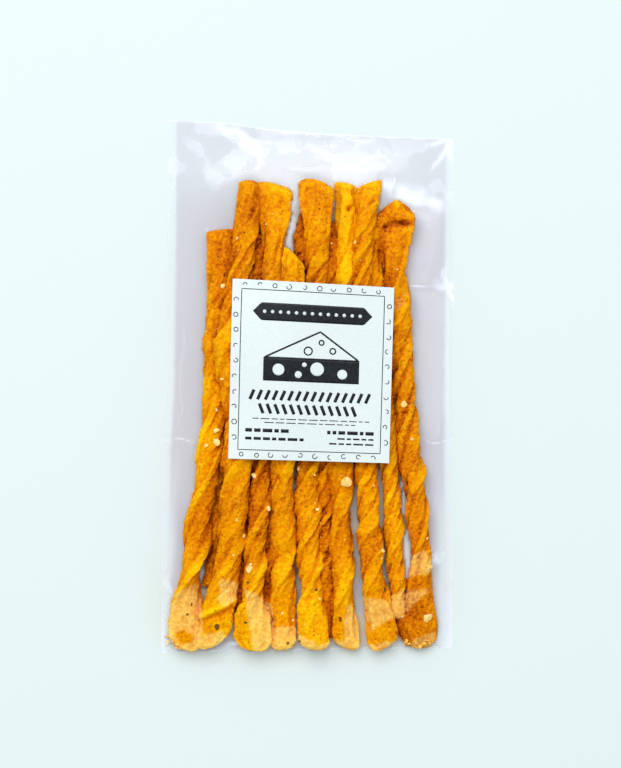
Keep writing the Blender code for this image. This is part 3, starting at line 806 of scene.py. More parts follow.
# Mottling of the haze: its mean, how far it goes up and down, and the width of its cells
HAZE_MEAN = 0.85
HAZE_MOTTLED = 0.25
HAZE_CELL = 1.6 * MM


def inside_patch(x, y, corners, ragged):
    """1 inside a convex patch and 0 outside, with a soft ragged edge, by the nearest side's distance."""
    corners = np.asarray(corners, dtype=float) * MM
    nearest = np.full(x.shape, 1.0)
    for start, end in zip(corners, np.roll(corners, -1, axis=0)):
        along = (end - start) / np.hypot(*(end - start))
        nearest = np.minimum(nearest, along[0] * (y - start[1]) - along[1] * (x - start[0]))
    return ease(0.5 + (nearest + ragged) / HAZE_EDGE)


def reflected_haze_at(x, y):
    """How strong the painted reflection, a pale haze, is at a place of the film, from 0 to 1: the hazy
    patches without the clear ones, mottled.
    """
    flat = flat_points(x, y)
    ragged = relief(flat, HAZE_RAGGED)
    hazy = np.max([inside_patch(x, y, corners, ragged) for corners in HAZY], axis=0)
    clear = np.max([inside_patch(x, y, corners, ragged) for corners in CLEAR_WITHIN], axis=0)
    mottled = HAZE_MEAN + HAZE_MOTTLED * noise(flat, HAZE_CELL, 78)
    return np.clip(hazy * (1.0 - clear) * mottled, 0.0, 1.0)


def both_sheets(front, back):
    """Values of the film grid for the points of the front sheet, and for those of the back sheet alone."""
    return np.concatenate((front.ravel(), back[1:-1, 1:-1].ravel()))


# Looks of the film by place. Each pair is the start and end of a smooth step: of the place v from the
# bag's bottom at 0 to its top at 1, of the film's height, or of a share
SEAM_EDGE = 2.2 * MM
LIES_ON_DOUGH = 1.5 * MM
LOW_BESIDE_PILE = (8.0 * MM, 3.0 * MM)
NEAR_TOP = (0.82, 0.92)
LOW_HALF = (0.45, 0.15)
AT_FEET = (0.14, 0.04)
AT_FEET_PAINTED_LIGHT = 1.2
# Where the pack's shade ends: its low sides, and in part its top
SHADE_ENDS = (0.42, 0.14)
SHADE_ENDS_LOW = 0.90
SHADE_ENDS_AT_TOP = 0.35
# The light is warm where dough covers more than about half of the film grid's cells round a place
WARM_ROUNDS = 30
WARM_SHARES = (0.45, 0.60)
# Painted sheen in white blotches near the top, where a relief of their own is high
SHEEN_BLOTCHES = (Layer(1.0, 8.0, 907), Layer(0.6, 3.6, 908))
BLOTCH_LEVELS = (-0.05 * MM, 0.35 * MM)
BLOTCHED_TOP = (0.84, 0.90)
# Milkiness and painted light of the film: a milk of 1 everywhere and what its streaks add; painted light
# added at the seams and by the feet, painted sheen at the top and in its blotches, and painted highlights at
# the white spots and along the cut edge at the top
STREAK_CELL = (5 * MM, 60 * MM, 5 * MM)
STREAK_MILK = 0.25
SEAM_PAINTED_LIGHT = 0.7
LOW_PAINTED_LIGHT = 1.2
TOP_PAINTED_SHEEN = 0.6
BLOTCHED_SHEEN = 2.2
HIGHLIGHT_STRENGTH = 8.0
TOP_EDGE_HIGHLIGHT = 4.0

# Wrinkles fade out near the rim and near the label. SHARP_FOLD is in degrees.
WRINKLES_START = (0.0, 6 * MM)
LABEL_CALM_ROUNDS = 12
BACK_LEVEL = 0.07 * MM
BACK_WAVES = (Layer(0.035, 9.0, 903),)
SHARP_FOLD = 75


def film_looks(film, bare, x, y, u, v):
    """Values of the film grid: how strong the painted reflection, a pale haze, is on the front sheet, how
    milky it is with its painted light, sheen and highlights, how little the pack shades what is seen through
    it, and how warm that is. The milk and painted light are left out where dough lies under it."""
    flat = flat_points(x, y)
    over_dough = smoothed((bare > LIES_ON_DOUGH).astype(float), 1)
    seam = fade(np.minimum(u, 1 - u) * BAG_WIDTH, SEAM_BAND + SEAM_EDGE, SEAM_BAND)
    beside = fade(film, *LOW_BESIDE_PILE)
    near_top = fade(v, *NEAR_TOP)
    near_feet = (fade(v, *LOW_HALF) + AT_FEET_PAINTED_LIGHT * fade(v, *AT_FEET)) * beside
    sheen_blotches = fade(relief(flat, SHEEN_BLOTCHES), *BLOTCH_LEVELS) * fade(v, *BLOTCHED_TOP)
    # Milk of the film and its streaks, with painted light at the seams
    milk_and_sheen = 1.0 + STREAK_MILK * noise(flat, STREAK_CELL, 904) + SEAM_PAINTED_LIGHT * seam
    # Painted light by the feet, and painted sheen near the top and in its blotches
    milk_and_sheen = milk_and_sheen + LOW_PAINTED_LIGHT * near_feet + TOP_PAINTED_SHEEN * near_top + BLOTCHED_SHEEN * sheen_blotches
    # Painted highlights on the film's creases
    milk_and_sheen = (1.0 - over_dough) * (milk_and_sheen + HIGHLIGHT_STRENGTH * painted_highlights(x, y))
    # Painted highlight along the cut edge at the top
    milk_and_sheen[-1, :] += TOP_EDGE_HIGHLIGHT
    shade_ended = SHADE_ENDS_LOW * fade(v, *SHADE_ENDS) * beside + SHADE_ENDS_AT_TOP * near_top
    return {
        "reflection_haze": reflected_haze_at(x, y) * over_dough,
        "milk_and_sheen": milk_and_sheen,
        "unshaded": np.maximum(seam, shade_ended),
        "warmed": fade(smoothed(over_dough, WARM_ROUNDS), *WARM_SHARES),
    }


def make_film(film, covered, obstacle, bare, front_look, back_look):
    """The bag: a front sheet with its wrinkles and a nearly flat back sheet, joined round the rim."""
    x, y = film_places()
    border = np.ones(FILM_SHAPE, dtype=bool)
    border[1:-1, 1:-1] = False
    u, v = bag_coordinates(x, y)
    from_rim = np.minimum(np.minimum(u, 1 - u) * BAG_WIDTH, np.minimum(v, 1 - v) * BAG_LENGTH)
    loose = fade(from_rim, *WRINKLES_START) * (1.0 - smoothed(covered.astype(float), LABEL_CALM_ROUNDS))
    front = film + film_wrinkles(x, y) * np.clip(loose, 0.0, 1.0)
    front = smoothed(np.maximum(front, obstacle), 1)
    front = np.maximum(front, np.maximum(obstacle, FILM_RIM))
    front = np.where(covered, film, front)
    front[border] = FILM_RIM
    back = BACK_LEVEL + relief(flat_points(x, y), BACK_WAVES)

    front_index = np.arange(x.size).reshape(FILM_SHAPE)
    back_index = front_index.copy()
    inner_shape = (FILM_SHAPE[0] - 2, FILM_SHAPE[1] - 2)
    back_index[1:-1, 1:-1] = x.size + np.arange(inner_shape[0] * inner_shape[1]).reshape(inner_shape)
    front_points = np.stack((x, y, front), axis=-1).reshape(-1, 3)
    back_points = np.stack((x, y, back), axis=-1)[1:-1, 1:-1].reshape(-1, 3)
    front_faces = sheet_faces(front_index, True)
    back_faces = sheet_faces(back_index, False)
    looks = film_looks(film, bare, x, y, u, v)
    painted = {key: both_sheets(looks[key], 0 * looks[key]) for key in ("reflection_haze", "milk_and_sheen")}
    painted |= {key: both_sheets(looks[key], looks[key]) for key in ("unshaded", "warmed")}
    piece = new_piece("film_bag", np.concatenate((front_points, back_points)), front_faces + back_faces,
                      front_look, painted)
    piece.data.materials.append(back_look)
    sheet = np.repeat((0, 1), (len(front_faces), len(back_faces)))
    piece.data.polygons.foreach_set("material_index", sheet)
    piece.data.set_sharp_from_angle(angle=math.radians(SHARP_FOLD))
    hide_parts("bag")


def make_label(underside, look):
    """Paper label: a thin closed plate over its own grid, following the sheet's heights."""
    t, s = np.meshgrid(np.linspace(0, 1, LABEL_SHAPE[0]), np.linspace(0, 1, LABEL_SHAPE[1]), indexing="ij")
    x, y = label_place(s, t)
    bottom = height_at(underside, x, y)
    index = np.arange(x.size).reshape(LABEL_SHAPE)
    points = np.concatenate((np.stack((x, y, bottom + LABEL_THICKNESS), axis=-1).reshape(-1, 3),
                             np.stack((x, y, bottom), axis=-1).reshape(-1, 3)))
    rim = np.concatenate((index[0, :-1], index[:-1, -1], index[-1, :0:-1], index[:0:-1, 0]))
    after = np.roll(rim, -1)
    sides = np.stack((rim, rim + x.size, after + x.size, after), axis=-1).tolist()
    faces = sheet_faces(index, True) + sheet_faces(index + x.size, False) + sides
    piece = new_piece("paper_label", points, faces, look)
    piece.data.set_sharp_from_angle(angle=math.radians(SHARP_PAPER_EDGE))
    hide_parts("label")


# Print, in millimetres on a sheet of 69 by 76: steps along lines, the thinnest shape, and line widths
PRINT_STEP = 0.8
THINNEST = 0.04
HAIRLINE = 0.34
CUT_LINE = 0.75
HOLE_LINE = 0.6
BAR_LINE = 1.35
DASH_LENGTHS = (1.4, 4.6)
DASH_GAP = 0.9
SHORTEST_ROW_END = 1.0
FRAME = ((4.0, 4.0), (65.0, 4.0), (65.0, 72.0), (4.0, 72.0))
RING_SWEEPS = (360.0, 230.0, 190.0, 280.0)
RING_RADII = (0.8, 1.05)
RING_ASTRAY = 0.3
BANNER_MIDDLE = 62.8
BANNER_ENDS = (9.0, 12.6, 56.4, 60.0)
BANNER_HALF_HEIGHT = (0.0, 3.8, 3.8, 0.0)
BANNER_DOT = 0.75
RIND = (14.0, 55.0, 33.5, 43.2)
RIND_HOLES = ((20.5, 38.4, 2.5), (29.0, 36.6, 1.5), (37.0, 39.2, 2.9), (47.8, 37.4, 2.1), (31.5, 40.9, 1.0))
CUT_FACE = ((14.3, 43.4), (38.0, 55.2), (54.7, 43.4))
CUT_HOLES = ((33.0, 46.8, 1.7), (43.5, 47.2, 1.2), (38.6, 50.6, 1.0))
# Rows of slanting bars: height, lean, left and right end. Rows of dashes: height, ends, line width
BAR_ROWS = ((25.4, 1.7, 8.6, 59.0), (19.6, -1.7, 14.4, 56.0))
BAR_RISE = 4.1
BAR_PITCH = 3.3
DASH_ROWS = (
    (17.4, 10.0, 60.0, 0.38), (15.8, 15.0, 54.0, 0.38), (12.4, 7.0, 27.0, 1.5), (8.9, 7.0, 32.0, 1.2),
    (12.4, 42.0, 62.0, 1.5), (9.8, 46.5, 62.0, 0.7), (7.6, 43.0, 62.0, 0.7),
)


def filled(x, low, high):
    """Points and faces of a flat shape that reaches from low to high at each x, in millimetres: a grid
    with one column at each x and rows spread evenly between its two edges."""
    x, low = np.asarray(x, dtype=float), np.asarray(low, dtype=float) + np.zeros(len(x))
    high = np.maximum(high, low + THINNEST)
    rows = max(2, int((high - low).max() / PRINT_STEP) + 1)
    share = np.linspace(0, 1, rows)[None, :]
    points = np.stack((x[:, None] + 0 * share, low[:, None] + (high - low)[:, None] * share), axis=-1)
    index = np.arange(points[..., 0].size).reshape(points.shape[:2])
    quads = np.stack((index[:-1, :-1], index[1:, :-1], index[1:, 1:], index[:-1, 1:]), axis=-1)
    return points.reshape(-1, 2), quads.reshape(-1, 4).tolist()


def disc(x, y, radius):
    """A filled circle, in millimetres."""
    angle = np.linspace(0, math.pi, 13)
    half = radius * np.sin(angle)
    return filled(x - radius * np.cos(angle), y - half, y + half)


def stroke(line, width, closed=False):
    """Points and faces of a line of even width along flat points, in millimetres."""
    line = np.asarray(line, dtype=float)
    ahead = np.roll(line, -1, axis=0) - np.roll(line, 1, axis=0)
    if not closed:
        ahead[0], ahead[-1] = line[1] - line[0], line[-1] - line[-2]
    aside = np.stack((-ahead[:, 1], ahead[:, 0]), axis=-1)
    aside = aside / np.linalg.norm(aside, axis=1, keepdims=True) * width / 2
    points = np.concatenate((line - aside, line + aside))
    count = len(line)
    step = np.arange(count if closed else count - 1)
    after = (step + 1) % count
    return points, np.stack((step, after, after + count, step + count), axis=-1).tolist()


def run(corners, closed=False):
    """Points about PRINT_STEP apart along straight lines from corner to corner, in millimetres."""
    corners = np.asarray(corners, dtype=float)
    ends = np.concatenate((corners[1:], corners[:1])) if closed else corners[1:]
    sides = []
    for start, end in zip(corners, ends):
        count = max(1, round(float(np.linalg.norm(end - start)) / PRINT_STEP))
        sides.append(start + (end - start) * np.arange(count)[:, None] / count)
    return np.concatenate(sides if closed else sides + [corners[-1:]])


def circle(x, y, radius, start=0.0, sweep=360.0, count=24):
    """Points of a circle or of an arc of it, in millimetres and degrees."""
    angle = np.radians(start + sweep * np.linspace(0, 1, count, endpoint=sweep < 360.0))
    return np.stack((x + radius * np.cos(angle), y + radius * np.sin(angle)), axis=-1)


def dashes(draw, y, left, right, width):
    """Short dashes of uneven length in a row, in the place of small print."""
    made, start = [], left
    while start < right - SHORTEST_ROW_END:
        end = min(start + draw.uniform(*DASH_LENGTHS), right)
        made.append(stroke(run(((start, y), (end, y))), width))
        start = end + DASH_GAP
    return made


def label_print():
    """The label's dark print and the pale shapes over it, on a sheet of 69 by 76 mm: a generic design.

    A thin frame with small open rings round it, a plain banner with pointed ends, a wedge of cheese
    with holes, two rows of slanting bars like the strands of a twist, and rows of dashes.
    """
    draw = np.random.default_rng(11)
    ink = [stroke(run(FRAME, closed=True), HAIRLINE, closed=True)]
    rings = [(x, y) for y in (2.0, 74.0) for x in np.arange(5.5, 66.0, 6.3)]
    rings += [(x, y) for x in (2.0, 67.0) for y in np.arange(9.0, 70.0, 6.5)]
    for x, y in rings:
        sweep = draw.choice(RING_SWEEPS)
        middle = x + draw.uniform(-RING_ASTRAY, RING_ASTRAY), y + draw.uniform(-RING_ASTRAY, RING_ASTRAY)
        line = circle(*middle, draw.uniform(*RING_RADII), draw.uniform(0, 360), sweep)
        ink.append(stroke(line, HAIRLINE, closed=sweep == 360.0))

    banner = np.linspace(BANNER_ENDS[0], BANNER_ENDS[-1], 65)
    half_height = np.interp(banner, BANNER_ENDS, BANNER_HALF_HEIGHT)
    ink.append(filled(banner, BANNER_MIDDLE - half_height, BANNER_MIDDLE + half_height))
    pale = [disc(x, BANNER_MIDDLE, BANNER_DOT) for x in np.arange(14.0, 56.0, 3.4)]

    left, right, low, high = RIND
    ink.append(filled(np.linspace(left, right, 53), low, high))
    pale += [disc(*hole) for hole in RIND_HOLES]
    ink.append(stroke(run(CUT_FACE, closed=True), CUT_LINE, closed=True))
    ink += [stroke(circle(*hole), HOLE_LINE, closed=True) for hole in CUT_HOLES]

    for y, lean, left, right in BAR_ROWS:
        for x in np.arange(left, right, BAR_PITCH):
            ink.append(stroke(run(((x, y), (x + lean, y + BAR_RISE))), BAR_LINE))
    for row in DASH_ROWS:
        ink += dashes(draw, *row)
    return ink, pale


def make_print(name, shapes, underside, lift, look):
    """One mesh of all the shapes of one colour, laid on the label a hair above its face."""
    points, faces, count = [], [], 0
    for flat, shape_faces in shapes:
        x, y = label_place(flat[:, 0] * MM / LABEL_WIDTH, flat[:, 1] * MM / LABEL_HEIGHT)
        z = height_at(underside, x, y) + LABEL_THICKNESS + lift
        points.append(np.stack((x, y, z), axis=-1))
        faces += [[number + count for number in face] for face in shape_faces]
        count += len(flat)
    piece = new_piece(name, np.concatenate(points), faces, look)
    film_of_ink = piece.modifiers.new("ink thickness", "SOLIDIFY")
    film_of_ink.thickness = INK_THICKNESS
    film_of_ink.offset = -1.0
    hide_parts("label")


# Crumbs of cheese on the twists, and flakes of dried herb: x, y and breadth in millimetres
CHEESE_CRUMBS = (
    (-38.9, -10.1, 1.6), (-38.9, -19.1, 2.9), (-38.9, -23.9, 3.3), (-43.6, -25.2, 1.9), (-23.0, -38.1, 2.3),
    (-17.0, -52.2, 2.4), (-3.7, -35.5, 2.0), (4.1, -53.1, 2.0), (-24.7, -78.5, 2.9), (16.6, -41.1, 4.2),
    (32.5, -70.3, 2.0), (41.9, -7.5, 2.8), (52.2, -77.6, 2.7), (52.2, -99.5, 4.2), (-36.6, 3.2, 1.4),
    (-27.4, -64.0, 1.5), (-33.8, -91.5, 1.6), (-24.2, -76.4, 1.6), (20.5, 62.0, 1.6), (-36.4, 43.2, 1.8),
    (51.6, -65.5, 1.2), (45.0, -22.5, 1.5), (-30.2, -57.0, 1.3), (28.6, -42.5, 1.2), (3.2, -38.0, 1.1),
)
HERB_FLAKES = (
    (-38.6, -103.2, 2.4), (-26.5, -101.4, 1.5), (14.0, -100.2, 2.0), (3.6, -87.2, 1.3), (-3.4, -109.4, 1.6),
    (-8.4, -110.6, 1.2), (-49.8, -93.6, 1.4), (-51.6, -98.0, 1.1), (26.2, -63.4, 1.1), (33.2, -87.2, 1.4),
    (-25.6, -84.0, 1.2), (5.2, 76.2, 1.0), (-27.0, 66.0, 0.9), (41.5, 60.0, 0.9), (-38.5, 56.0, 0.9),
)
# Loose crumbs in the two bottom corners: low and high corner of each box
LOOSE_CORNERS = (((-61.4, -113.6), (-54.5, -108.5)), ((38, -113.2), (56, -109.5)))
LOOSE_COUNT = 26
LOOSE_BREADTHS = (0.5, 2.2)
# Cheese dust over the whole pack, kept only where it lies on dough, at least this high
DUST_BOX = ((-55, -112), (54, 84))
DUST_COUNT = 80
DUST_BREADTHS = (0.45, 1.2)
ON_DOUGH = 6 * MM
# Facets of a crumb: how many, how far from its middle, the radius that they leave, how high its
# middle lies over what is under it as a share of its thickness, and the degrees of a sharp edge
FACETS = 7
FACET_PLACES = (0.45, 0.8)
FACETED_RADIUS = 0.8
CRUMB_LIFT = 0.18
SHARP_FACET = 30


def crumb_ball():
    """Unit ball of 80 triangles for crumbs: an icosphere's points and faces."""
    bpy.ops.mesh.primitive_ico_sphere_add(subdivisions=2, radius=1.0)
    ball = bpy.context.object
    points = np.array([vertex.co for vertex in ball.data.vertices])
    faces = np.array([list(face.vertices) for face in ball.data.polygons])
    bpy.data.objects.remove(ball)
    return points, faces


def on_surface(bare, spots):
    """Places for crumbs at x, y and breadth in millimetres, on the surface under them, in metres."""
    x, y, breadth = np.asarray(spots, dtype=float).T * MM
    return np.stack((x, y, height_at(bare, x, y), breadth), axis=-1)


def scattered(draw, count, corners, small, large):
    """Random spots in a box given by its low and high corner, in millimetres, most of them small."""
    low, high = np.asarray(corners, dtype=float)
    places = draw.uniform(low, high, (count, 2))
    breadths = small + (large - small) * draw.random(count) ** 3
    return np.column_stack((places, breadths))


def make_crumbs(name, places, look, seed, flatness, slimness):
    """Joined mesh of crumbs: each is a ball with a few facets planed off it, squashed and turned.

    places holds x, y, z of the surface under each crumb, and its breadth, in metres.
    """
    ball, ball_faces = crumb_ball()
    draw = np.random.default_rng(seed)
    points, faces = [], []
    for number, (x, y, z, breadth) in enumerate(places):
        cuts = draw.normal(size=(FACETS, 3))
        cuts /= np.linalg.norm(cuts, axis=1, keepdims=True)
        beyond = np.maximum(ball @ cuts.T - draw.uniform(*FACET_PLACES, FACETS), 0.0)
        shape = ball - beyond @ cuts
        turn = draw.uniform(0, 2 * math.pi)
        cosine, sine = math.cos(turn), math.sin(turn)
        spin = np.array(((cosine, -sine, 0), (sine, cosine, 0), (0, 0, 1)))
        squash = np.array((1.0, draw.uniform(slimness, 1.0), flatness))
        shape = (shape * squash) @ spin.T * breadth / 2 / FACETED_RADIUS
        placed = shape + np.array((x, y, z + flatness * breadth * CRUMB_LIFT))
        placed[:, 2] = np.maximum(placed[:, 2], LOWEST_POINT)
        points.append(placed)
        faces.append(ball_faces + number * len(ball))
    piece = new_piece(name, np.concatenate(points), np.concatenate(faces).tolist(), look)
    piece.data.set_sharp_from_angle(angle=math.radians(SHARP_FACET))
    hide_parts("bag")
    return np.concatenate(points)


# Materials. Scale is a pattern's number of repeats for each metre.


def linear(colour):
    """Linear colour from an sRGB hex value such as "#F5A50A"."""
    channels = [int(colour[i:i + 2], 16) / 255 for i in (1, 3, 5)]
    return tuple(c / 12.92 if c <= 0.04045 else ((c + 0.055) / 1.055) ** 2.4 for c in channels) + (1.0,)


def new_material(name):
    """Empty node material and its output node."""
    made = bpy.data.materials.new(name)
    made.use_nodes = True
    made.node_tree.nodes.clear()
    return made, made.node_tree.nodes.new("ShaderNodeOutputMaterial")


def surfaced(made, output, shader):
    """The material, with the shader's node as what is seen of it."""
    made.node_tree.links.new(shader.outputs[0], output.inputs["Surface"])
    return made


def add(owner, kind, links=None, values=None, **settings):
    """Adds a node: settings are its properties, values its inputs' numbers, links its inputs' sources."""
    tree = owner.node_tree
    node = tree.nodes.new("ShaderNode" + kind)
    for key, value in settings.items():
        setattr(node, key, value)
    for key, value in (values or {}).items():
        node.inputs[key].default_value = value
    for key, source in (links or {}).items():
        tree.links.new(source, node.inputs[key])
    return node


def ramp(owner, source, stops):
    """Colour ramp from a factor, with (position, colour) stops."""
    node = add(owner, "ValToRGB", {"Fac": source})
    elements = node.color_ramp.elements
    while len(elements) < len(stops):
        elements.new(0.5)
    for element, (position, colour) in zip(elements, stops):
        element.position = position
        element.color = linear(colour)
    return node.outputs["Color"]


def grained(name, kind, outlet, settings, stops, finish, bump=None):
    """Material with one pattern: its kind of texture, the output that is read and its settings, colour
    stops over it, the surface's finish, and a bump of the same pattern by its strength and distance."""
    made, output = new_material(name)
    pattern = add(made, kind, {"Vector": add(made, "TexCoord").outputs["Object"]}, settings).outputs[outlet]
    links = {"Base Color": ramp(made, pattern, stops)}
    if bump:
        links["Normal"] = add(made, "Bump", {"Height": pattern}, bump).outputs["Normal"]
    shader = add(made, "BsdfPrincipled", links, finish)
    return surfaced(made, output, shader)


def blended(owner, share, first, second):
    """Colour between two others, by a share. Each of the two is a node's output or a plain value."""
    node = add(owner, "Mix", {"Factor": share}, data_type="RGBA")
    for place, colour in ((6, first), (7, second)):
        if isinstance(colour, tuple):
            node.inputs[place].default_value = colour
        else:
            owner.node_tree.links.new(colour, node.inputs[place])
    return node.outputs[2]


# Colours of the dough from its pits to its crests, along its toasting and painted shade and light, those of
# its specks of herb and tomato, and those under the painted reflection, a pale haze over the feet, with the
# shares of the last two
BAKED = ((0.00, "#6C2400"), (0.22, "#B85A00"), (0.46, "#DD8300"), (0.68, "#EDA300"), (0.95, "#FCC406"))
SPECKS = ((0.0, "#6E4204"), (0.5, "#8E4A04"), (1.0, "#B04804"))
SPECK_SHARE = 0.6
SPECK_RADIUS = 0.24
SPECKED_ABOVE = 0.56
REFLECTION_ON_DOUGH = ((0.08, "#BA7A2C"), (0.42, "#F2BE50"), (0.80, "#FFE074"))
REFLECTION_ON_DOUGH_SHARE = 0.62


def baked_dough():
    """Cheese dough, rolled, twisted and baked: matt, saturated orange, grainy, with painted shade in its pits
    and hollows and painted light on its crests, with specks of dried herb and tomato, and paler where a
    painted reflection, a pale haze, lies on it over the feet."""
    made, output = new_material("baked cheese dough")
    place = add(made, "TexCoord").outputs["Object"]
    toast_and_shade = add(made, "Attribute", attribute_name="toast_and_shade").outputs["Fac"]
    cloud = add(made, "TexNoise", {"Vector": place}, {"Scale": 760.0, "Detail": 4.0, "Roughness": 0.7})
    centred = add(made, "Math", {0: cloud.outputs["Fac"]}, {1: 1.0, 2: -0.5}, operation="MULTIPLY_ADD")
    tone = add(made, "Math", {0: toast_and_shade, 1: centred.outputs[0]}, operation="ADD").outputs[0]
    cells = add(made, "TexVoronoi", {"Vector": place}, {"Scale": 560.0, "Randomness": 1.0})
    rare = add(made, "TexNoise", {"Vector": place}, {"Scale": 260.0, "Detail": 2.0}).outputs["Fac"]
    near = add(made, "Math", {0: cells.outputs["Distance"]}, {1: SPECK_RADIUS}, operation="LESS_THAN")
    some = add(made, "Math", {0: rare}, {1: SPECKED_ABOVE}, operation="GREATER_THAN")
    speck = add(made, "Math", {0: near.outputs[0], 1: some.outputs[0]}, operation="MULTIPLY").outputs[0]
    strength = add(made, "Math", {0: speck}, {1: SPECK_SHARE}, operation="MULTIPLY").outputs[0]
    herbs = ramp(made, cells.outputs["Color"], SPECKS)
    dough = blended(made, strength, ramp(made, tone, BAKED), herbs)
    # Painted reflection, a pale haze over the feet, mixed into the dough's colour
    painted_reflection = add(made, "Attribute", attribute_name="painted_reflection").outputs["Fac"]
    cloudiness = add(made, "Math", {0: painted_reflection}, {1: REFLECTION_ON_DOUGH_SHARE}, operation="MULTIPLY").outputs[0]
    seen = blended(made, cloudiness, dough, ramp(made, tone, REFLECTION_ON_DOUGH))
    grain = add(made, "TexNoise", {"Vector": place}, {"Scale": 1300.0, "Detail": 2.0}).outputs["Fac"]
    bump = add(made, "Bump", {"Height": grain}, {"Strength": 0.8, "Distance": 0.00012})
    shader = add(made, "BsdfPrincipled", {"Base Color": seen, "Normal": bump.outputs["Normal"]},
                 {"Roughness": 0.8, "Specular IOR Level": 0.03})
    return surfaced(made, output, shader)


def hard_cheese():
    """Crumbs of toasted hard cheese: pale, slightly waxy and a little translucent."""
    finish = {"Roughness": 0.5, "Specular IOR Level": 0.2, "Subsurface Weight": 0.15,
              "Subsurface Scale": 0.0008}
    return grained("toasted cheese crumb", "TexNoise", "Fac", {"Scale": 600.0, "Detail": 2.0},
                   ((0.3, "#F2BE4C"), (0.7, "#FFE6A2")), finish)


def baked_crumb():
    """Crumbs broken off the twists: browned dough and cheese, from orange to pale yellow."""
    return grained("broken baked crumb", "TexVoronoi", "Color", {"Scale": 700.0},
                   ((0.2, "#C8820C"), (0.5, "#F0B020"), (0.8, "#FFDC70")),
                   {"Roughness": 0.75, "Specular IOR Level": 0.1})


def dried_herb():
    """Flakes of dried basil, soaked with fat in the oven: dull olive brown, matt and brittle."""
    return grained("dried basil flake", "TexNoise", "Fac", {"Scale": 900.0, "Detail": 2.0},
                   ((0.3, "#5A3408"), (0.7, "#8C5E18")), {"Roughness": 0.85, "Specular IOR Level": 0.05})


# Share of the light that each sheet of film lets through. The back one also stands for the shade
# that the pack throws on what it lies on, which ends at the welded seams and fades towards the feet,
# and for the warm light that the twists throw on it in the gaps between them.
FRONT_TINT = (0.990, 0.990, 0.990, 1.0)
BACK_TINT = (0.800, 0.722, 0.788, 1.0)
WARM_TINT = (0.990, 0.780, 0.580, 1.0)
CLEAR_TINT = (0.990, 0.990, 0.995, 1.0)
SHADOW_TINT = (0.980, 0.980, 0.980, 1.0)
REFLECTION_HAZE_SHARE = 0.02
MILK_AND_SHEEN_SHARE = 0.09
SHINE_ON_DOUGH = 0.012
FILM_IOR = 1.25


def clear_film(sheet, tint, warm):
    """Oriented polypropylene film: clear and glossy with a soft veil round its highlights, a fine crinkle,
    slightly milky, with painted light at its welded seams and by the feet, painted sheen near the top and
    painted highlights on its creases as a white veil, and a painted reflection as a pale haze over the feet.
    Its tint also stands for the pack's shade and for the warm light between the twists. It is too thin to
    cast a shadow, so the light that falls on what lies behind it passes straight through."""
    made, output = new_material("clear polypropylene film " + sheet)
    place = add(made, "TexCoord").outputs["Object"]
    crinkle = add(made, "TexNoise", {"Vector": place}, {"Scale": 160.0, "Detail": 3.0, "Distortion": 0.8})
    bump = add(made, "Bump", {"Height": crinkle.outputs["Fac"]}, {"Strength": 0.2, "Distance": 0.0005})
    unshaded = add(made, "Attribute", attribute_name="unshaded").outputs["Fac"]
    warmed = add(made, "Attribute", attribute_name="warmed").outputs["Fac"]
    passed = blended(made, warmed, blended(made, unshaded, tint, CLEAR_TINT), warm)
    seen = add(made, "BsdfTransparent", {"Color": passed})
    gloss = add(made, "BsdfGlossy", {"Normal": bump.outputs["Normal"]},
                {"Color": (1.0, 1.0, 1.0, 1.0), "Roughness": 0.10})
    veil = add(made, "BsdfGlossy", {"Normal": bump.outputs["Normal"]},
               {"Color": (1.0, 1.0, 1.0, 1.0), "Roughness": 0.34})
    shine = add(made, "MixShader", {1: gloss.outputs[0], 2: veil.outputs[0]}, {0: 0.45})
    mirror = add(made, "Fresnel", {"Normal": bump.outputs["Normal"]}, {"IOR": FILM_IOR})
    # Milkiness with painted light, sheen and highlights, as a white veil
    milk_and_sheen = add(made, "Attribute", attribute_name="milk_and_sheen").outputs["Fac"]
    bright = add(made, "MapRange", {"Value": milk_and_sheen}, {"To Min": SHINE_ON_DOUGH, "To Max": 1.0})
    shining = add(made, "Math", {0: mirror.outputs[0], 1: bright.outputs[0]}, operation="MULTIPLY")
    clear = add(made, "MixShader", {0: shining.outputs[0], 1: seen.outputs[0], 2: shine.outputs[0]})
    # Painted reflection, a pale haze over the feet, as a white veil
    reflection_haze = add(made, "Attribute", attribute_name="reflection_haze").outputs["Fac"]
    hazy = add(made, "Math", {0: reflection_haze}, {1: REFLECTION_HAZE_SHARE}, operation="MULTIPLY").outputs[0]
    share = add(made, "Math", {0: milk_and_sheen, 2: hazy}, {1: MILK_AND_SHEEN_SHARE}, operation="MULTIPLY_ADD").outputs[0]
    cloud = add(made, "BsdfDiffuse", values={"Color": linear("#EFF3FF")})
    faced = add(made, "MixShader", {0: share, 1: clear.outputs[0], 2: cloud.outputs[0]})
    path = add(made, "LightPath")
    lighting = add(made, "Math", {0: path.outputs["Is Shadow Ray"], 1: path.outputs["Is Diffuse Ray"]},
                   operation="MAXIMUM")
    let_through = add(made, "BsdfTransparent", values={"Color": SHADOW_TINT})
    surface = add(made, "MixShader", {0: lighting.outputs[0], 1: faced.outputs[0], 2: let_through.outputs[0]})
    return surfaced(made, output, surface)


def label_paper():
    """White uncoated printing paper with a faint tooth."""
    return grained("white label paper", "TexNoise", "Fac", {"Scale": 900.0, "Detail": 4.0},
                   ((0.3, "#D3DEDD"), (0.7, "#D9E4E3")), {"Roughness": 0.75, "Specular IOR Level": 0.08},
                   {"Strength": 0.12, "Distance": 0.0001})


def dark_ink():
    """Laser toner: near black, slightly satin, a little uneven."""
    return grained("dark printing ink", "TexNoise", "Fac", {"Scale": 700.0, "Detail": 2.0},
                   ((0.3, "#15181B"), (0.75, "#24292C")), {"Roughness": 0.6, "Specular IOR Level": 0.12})


